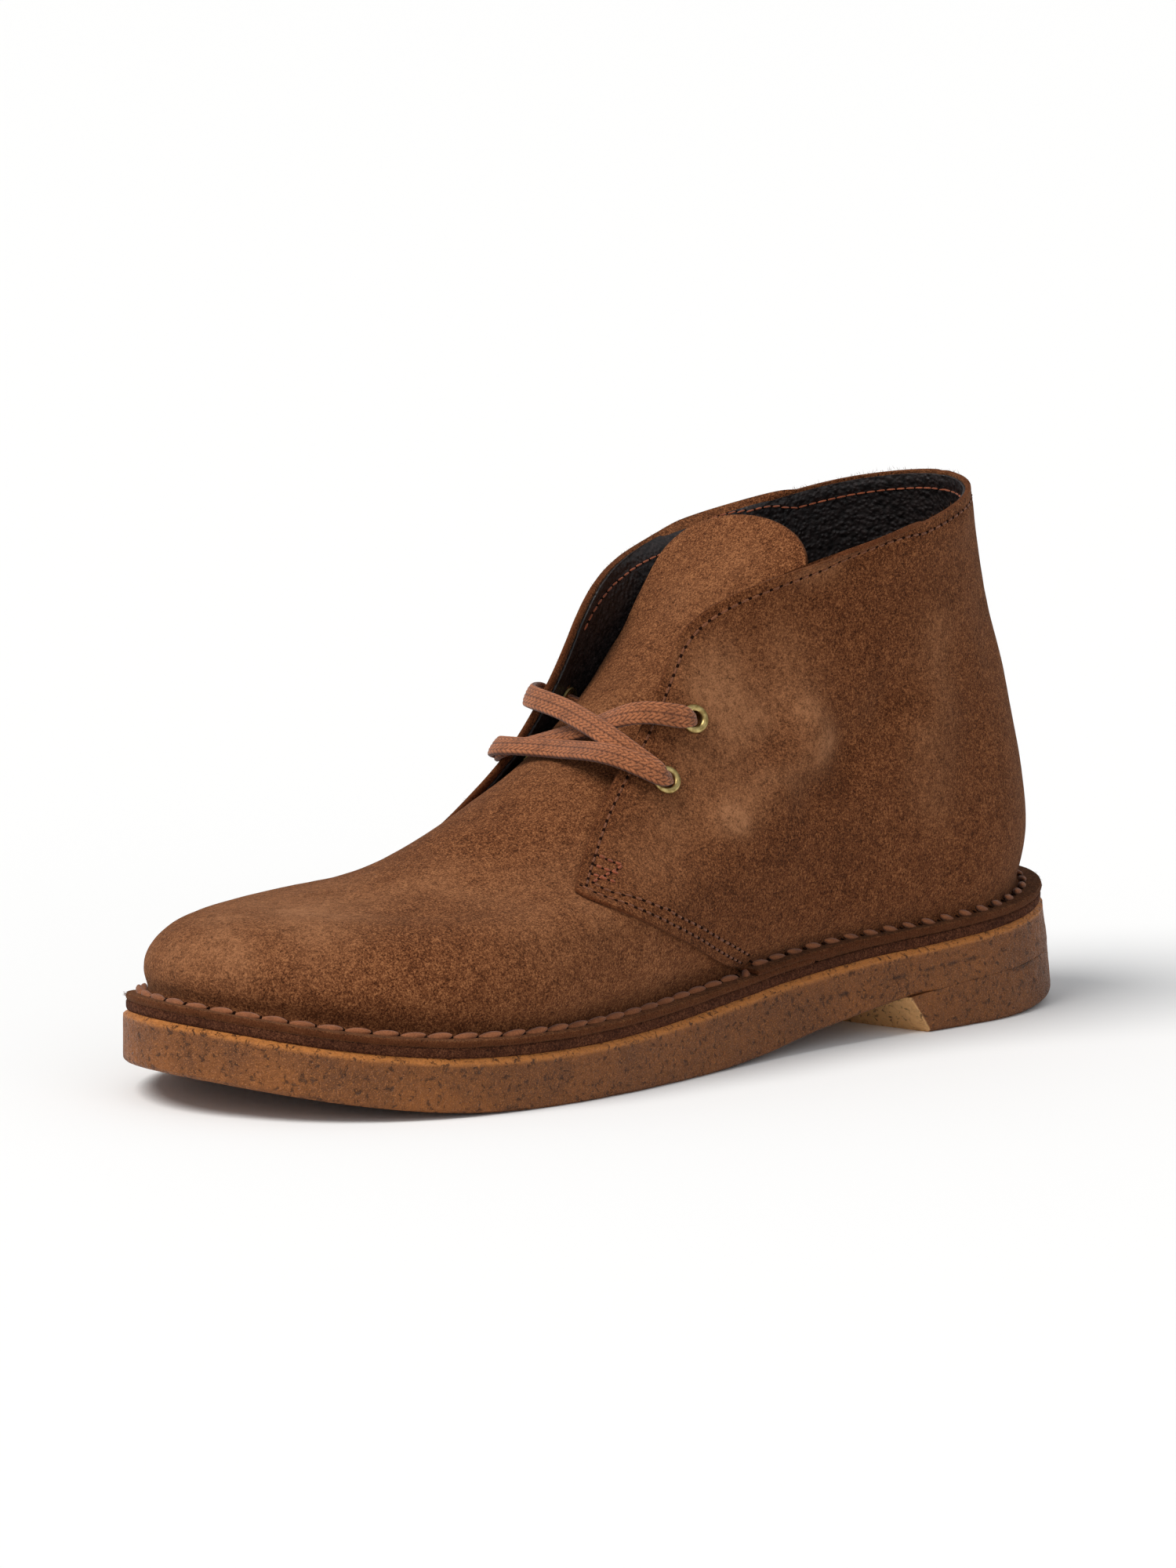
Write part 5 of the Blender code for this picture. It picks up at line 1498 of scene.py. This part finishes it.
row_of_stitches("bar_tack", tacks, 0.0021, size, -0.00010, rust_thread, "suede", 0.0005)

# %% [markdown]
# The chunky seam through flange, midsole and crepe is what holds a stitchdown boot together. It
# is sewn with thick waxed thread, so each stitch swells like a lens and pulls a dent into the
# flange at both ends.

# %% Sole seam
SOLE_PITCH = 0.0071
LENS_PROFILE = ((-1, 0.22), (-0.86, 0.5), (-0.62, 0.78), (-0.25, 0.98),
                (0.25, 0.98), (0.62, 0.78), (0.86, 0.5), (1, 0.22))
loop = np.linspace(-1, 1, 2401)[:-1]
edge, foot_line = flange_edge(loop, FLANGE_INSET), last(0.0, loop)
on_quarter = np.abs(loop) > facing_place(0.0, 1)
ride_up = np.where(on_quarter, lapped(loop), 0)
track = foot_line + (edge - foot_line) * 0.44
track[:, 2] = feather(track[:, 1]) + ride_up + 0.00015
flange_out = unit((edge - foot_line) * [1, 1, 0])
columns = np.concatenate([track, unit(np.gradient(track, axis=0)), flange_out], 1)
path = stepped(columns, run_along(track), SOLE_PITCH)
centre, ahead, outward = path[:, :3], unit(path[:, 3:6]), unit(path[:, 6:])
lean = unit(np.array([[0, 0, 1.0]]) + outward * 0.55)
rng = np.random.default_rng(5)
size = np.stack([np.full(len(centre), 0.00350), rng.normal(0.00120, 0.00007, len(centre)),
                 rng.normal(0.00100, 0.00006, len(centre))], 1)
points, quads = scattered(bead(LENS_PROFILE, 10), centre, unit(ahead + outward * 0.07), lean, size)
make("sole_seam", points, quads, welt_thread, "suede", {"groove_shade": np.zeros(len(points))})
# Each dent between the sole seam's stitches is a small dark bead: painted shade.
pits = scattered(bead(), centre + ahead * SOLE_PITCH / 2, outward, lean, (0.0010, 0.0004, 0.00035))
make("sole_seam_pit_shade", *pits, hole_shade, "suede")

# %% [markdown]
# ## Eyelets and lace
# An eyelet is a brass tube spread over the leather as a ring. We turn its profile about the
# face's normal. Its bore runs through the wall, so the lace really goes in.

# %% Eyelets
def quarter_axis(level, place):
    """The quarter's outward normal at one point, its stand-off included: slope across slope."""
    a, b = slopes_of(quarter, np.array([level]), np.array([place]))
    return unit(np.cross(b, a))[0]


def turned_ring(centre, axis, profile, steps=64):
    """Points and quads of a closed profile of radius and height turned about an axis."""
    side = unit(np.cross(axis, [0.0, 0.0, 1.0]))
    angle = np.linspace(0, 2 * math.pi, steps, endpoint=False)[:, None]
    radial = np.cos(angle) * side + np.sin(angle) * np.cross(axis, side)
    radius, height = np.array(profile).T
    points = centre + radial[:, None] * radius[None, :, None] + axis * height[None, :, None]
    return points.reshape(-1, 3), grid_quads(steps, len(profile), wrap=True, turned=True).reshape(-1, 4)


arc = np.linspace(math.pi * 0.92, 0, 14)
eyelet_profile = [  # radius and height: up the bore, over the ring's brow, down the barrel, over its curl
    (EYELET_BORE, -0.0027), (EYELET_BORE, -0.0005), (EYELET_BORE + 0.00006, 0.0003),
    *[(0.00300 + 0.00100 * np.cos(t), 0.00035 + 0.00092 * np.sin(t)) for t in arc],
    (0.0039, 0.0001), (BARREL_RADIUS, 0.0001), (BARREL_RADIUS, -0.0024),
    (0.0033, -0.0026), (0.0032, -0.0031), (0.0024, -0.0032)]
for row, (level, place) in EYELETS.items():
    for side_name, at in (("lateral", place), ("medial", -place)):
        points, quads = turned_ring(quarter(level, at), quarter_axis(level, at), eyelet_profile)
        ring = make("brass_ring_" + side_name + "_" + row, points, quads, brass, "brass")
        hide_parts("eyelet_" + side_name + "_" + row)

# %% [markdown]
# The lace is a flat woven tape. Each strand comes up through its eyelet, bunched to the bore's
# width, folds over the ring, opens to its full width and bridges the tongue in one arch. Its weave
# is real relief: six columns of slanted yarns whose slant alternates, as in a herringbone.

# %% Path of a strand
OVER_EYELET = 0.0013 + FIT + LACE_THICKNESS / 2 + 0.0002
LACE_STEP = LACE_THICKNESS * 0.8  # how much higher a strand lies that crosses over another
STRAND_STEP = 0.00022
STRANDS = {  # two eyelets, level and lift over each facing's edge, arch, layer at each end
    "lace_falling": (("upper", 1), ("lower", -1), (0.72, 0.0032), (0.63, 0.0010), 0.0, (0, 0)),
    "lace_rising": (("lower", 1), ("upper", -1), (0.66, 0.0012), (0.72, 0.0028), 0.0045, (0, 0)),
    "lace_bar": (("lower", 1), ("lower", -1), (0.64, 0.0036), (0.63, 0.0034), 0.0015, (1, 1)),
}


def over_ring(row, side):
    """Where a strand leaves its eyelet, the normal there and the way off the facing."""
    level, place = EYELETS[row][0], EYELETS[row][1] * side
    point = quarter(level, place)
    return point, quarter_axis(level, place), unit(quarter(level, place - 0.01 * side) - point)


def over_facing(level, side, lift, beyond):
    """A point above the facing's edge, lifted off the face and moved beyond the edge."""
    place = float(facing_place(level, side)) * side
    point, normal = quarter(level, place), quarter_axis(level, place)
    return point + normal * lift + unit(quarter(level, place - 0.01 * side) - point) * beyond, normal


def strand_path(start, end, first_edge, second_edge, bridge, layers):
    """Centre line through knots: up the first bore and over its ring, over the facing's edge,
    lifted by bridge half way, over the other facing's edge, and down into the second bore."""
    (p, n, off), (q, m, back_off) = over_ring(*start), over_ring(*end)
    a, a_normal = over_facing(first_edge[0], start[1], first_edge[1], 0.0005)
    b, b_normal = over_facing(second_edge[0], end[1], second_edge[1], 0.0018)
    heights = np.array([-0.0065, -0.0030, 0.0002])[:, None]
    top_a = p + n * (OVER_EYELET + layers[0] * LACE_STEP) + off * 0.0020
    top_b = q + m * (OVER_EYELET + layers[1] * LACE_STEP) + back_off * 0.0020
    middle = (a + b) / 2 + unit(a_normal + b_normal) * bridge
    in_bore = 0.0006 - 0.0012 * np.array(layers)
    knots = np.concatenate([p + n * heights + off * in_bore[0], [top_a, a, middle, b, top_b],
                            q + m * heights[::-1] + back_off * in_bore[1]])
    lies = np.array([-off, -off, n - off, n, a_normal, unit(a_normal + b_normal), b_normal, m, m - back_off,
                     -back_off, -back_off])
    run = run_along(knots)
    at = np.linspace(0, run[-1], int(run[-1] / STRAND_STEP))
    return curve(run, knots, at), curve(run, unit(lies), at), at, run[2], run[-3]


for name, way in STRANDS.items():
    print(name, "is", round(float(strand_path(*way)[2][-1]) * 1000), "mm long")

# %% Woven strands
BUNCHED_HALF, BUNCHED_THICK, OPEN_THICK = 0.00150, 0.00115, 0.00078  # half widths and heights
YARN_PITCH = 0.0017


def woven_strand(*way):
    """The tape's flat section carried along its path: a rounded oblong whose height is raised
    by the yarns. Gives its points, and how deep each lies between the yarns, for painted shade."""
    path, facing, at, begin, stop = strand_path(*way)
    ahead = unit(np.gradient(path, axis=0))
    facing = unit(facing - ahead * (facing * ahead).sum(1, keepdims=True))
    across = np.cross(ahead, facing)
    open_up = smooth(at, begin - 0.001, begin + 0.0075) * (1 - smooth(at, stop - 0.0075, stop + 0.001))
    half = BUNCHED_HALF + (LACE_WIDTH / 2 - BUNCHED_HALF) * open_up
    thick = BUNCHED_THICK + (OPEN_THICK - BUNCHED_THICK) * open_up
    angle = np.linspace(0, 2 * math.pi, 72, endpoint=False)
    c, s = np.cos(angle), np.sin(angle)
    wide, tall = np.sign(c) * np.abs(c) ** 0.75, np.sign(s) * np.abs(s) ** 0.42
    column = np.clip((wide + 1) * 3, 0, 5.999)
    local = column - np.floor(column) - 0.5
    slant = np.where(np.floor(column) % 2 > 0, 1.0, -1.0) * np.sign(s)
    yarn = at[:, None] / YARN_PITCH + slant * local * 0.9 + 0.25 * np.floor(column)
    relief = np.abs(np.sin(math.pi * yarn)) ** 0.6 * np.cos(math.pi * local * 0.94) ** 0.5
    curl = (wide**2 * 0.00035)[None] * open_up[:, None]
    points = path[:, None] + across[:, None] * (wide * half[:, None])[..., None]
    points = points + facing[:, None] * (tall * (thick[:, None] + (relief - 0.5) * 0.00022) - curl)[..., None]
    return points, np.clip(1.15 - 1.5 * relief, 0, 1)


for name, way in STRANDS.items():
    points, groove_shade = woven_strand(*way)
    strand = make(name, points, loop_stack(points), lace_cotton, "lace_cotton", {"groove_shade": groove_shade})
    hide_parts("lace")

# %% [markdown]
# ## Loose fibres
# Cut suede is never clean: fibres stand out along every edge. Thin four-faced spikes are enough,
# because they are only seen as a soft outline.

# %% Fibres along the edges
HALF_TONGUE = 0.0008  # about half the tongue's thickness


def fibres(name, lines, per_metre, length, spread_out, seed):
    """Thin spikes along lines of (points, outward directions): each a slim three-sided pyramid
    with its own lean and length."""
    rng = np.random.default_rng(seed)
    roots, ways = [], []
    for line, out in lines:
        run = run_along(line)
        at = rng.uniform(0, run[-1], int(run[-1] * per_metre))
        roots.append(np.stack([np.interp(at, run, line[:, k]) for k in range(3)], 1))
        ways.append(np.stack([np.interp(at, run, out[:, k]) for k in range(3)], 1))
    root, way = np.concatenate(roots), unit(np.concatenate(ways))
    count = len(root)
    root = root + rng.normal(0, 1, (count, 3)) * 0.00028
    way = unit(way + rng.normal(0, spread_out, (count, 3)))
    tip = root + way * (length * rng.uniform(0.3, 1.0, count) ** 1.5)[:, None]
    side = unit(np.cross(way, rng.normal(0, 1, (count, 3))))
    other = np.cross(way, side)
    thin = 0.00004 + 0.00004 * rng.random(count)[:, None]
    base = [root + (side * math.cos(q) + other * math.sin(q)) * thin for q in (0, 2.094, 4.189)]
    points = np.stack([*base, tip], 1).reshape(-1, 3)
    tris = np.array([[0, 1, 3], [1, 2, 3], [2, 0, 3], [2, 1, 0]])
    tris = (tris[None] + np.arange(count)[:, None, None] * 4).reshape(-1, 3)
    flat = np.ones(len(points))
    make(name, points, tris, suede, "suede", {"highlight_and_wear": 0.5 * flat, "darkening_and_shade": 0 * flat, "cut": flat})


def wall_edge(level, place, depth, lean):
    """Middle of the quarter's cut edge, and the way out of it: away from a point just inside."""
    centre = quarter_skin(level, place, depth)
    inner = beside(quarter, level, place, lean)
    return centre, centre - quarter_skin(np.minimum(inner[0], 1), inner[1], depth)


def tongue_edge(along, across, inner_along, inner_across):
    """The same for the tongue, at half its thickness."""
    line = tongue(along, across, HALF_TONGUE)
    return line, line - tongue(inner_along, inner_across, HALF_TONGUE)


level = np.linspace(0.02, ROUNDED_FROM, 160)
edges = [wall_edge(level, facing_place(level, side) * side, 0.0006, -0.001 * side) for side in (1, -1)]
centre, out = wall_edge(*collar_line(), 0.0007, -0.001)
fibres("edge_fibres", edges + [(centre, out + [0, 0, 0.0004])], 2600, 0.0014, 0.5, 71)
across = np.linspace(-0.999, 0.999, 200)
top = 1 - TONGUE_ROUND * (1 - np.sqrt(1 - across**2))
edges = [tongue_edge(top, across, top - 0.04, np.linspace(-0.95, 0.95, 200))]
along, flat = np.linspace(0.25, 0.84, 100), np.ones(100)
edges += [tongue_edge(along, flat * 0.999 * side, along, flat * 0.9 * side) for side in (1, -1)]
fibres("tongue_fibres", edges, 2400, 0.0012, 0.5, 72)
rim = edge.copy()
rim[:, 2] = feather(rim[:, 1]) - 0.0010 + ride_up
fibres("flange_fibres", [(rim, flange_out)], 2600, 0.0010, 0.6, 73)
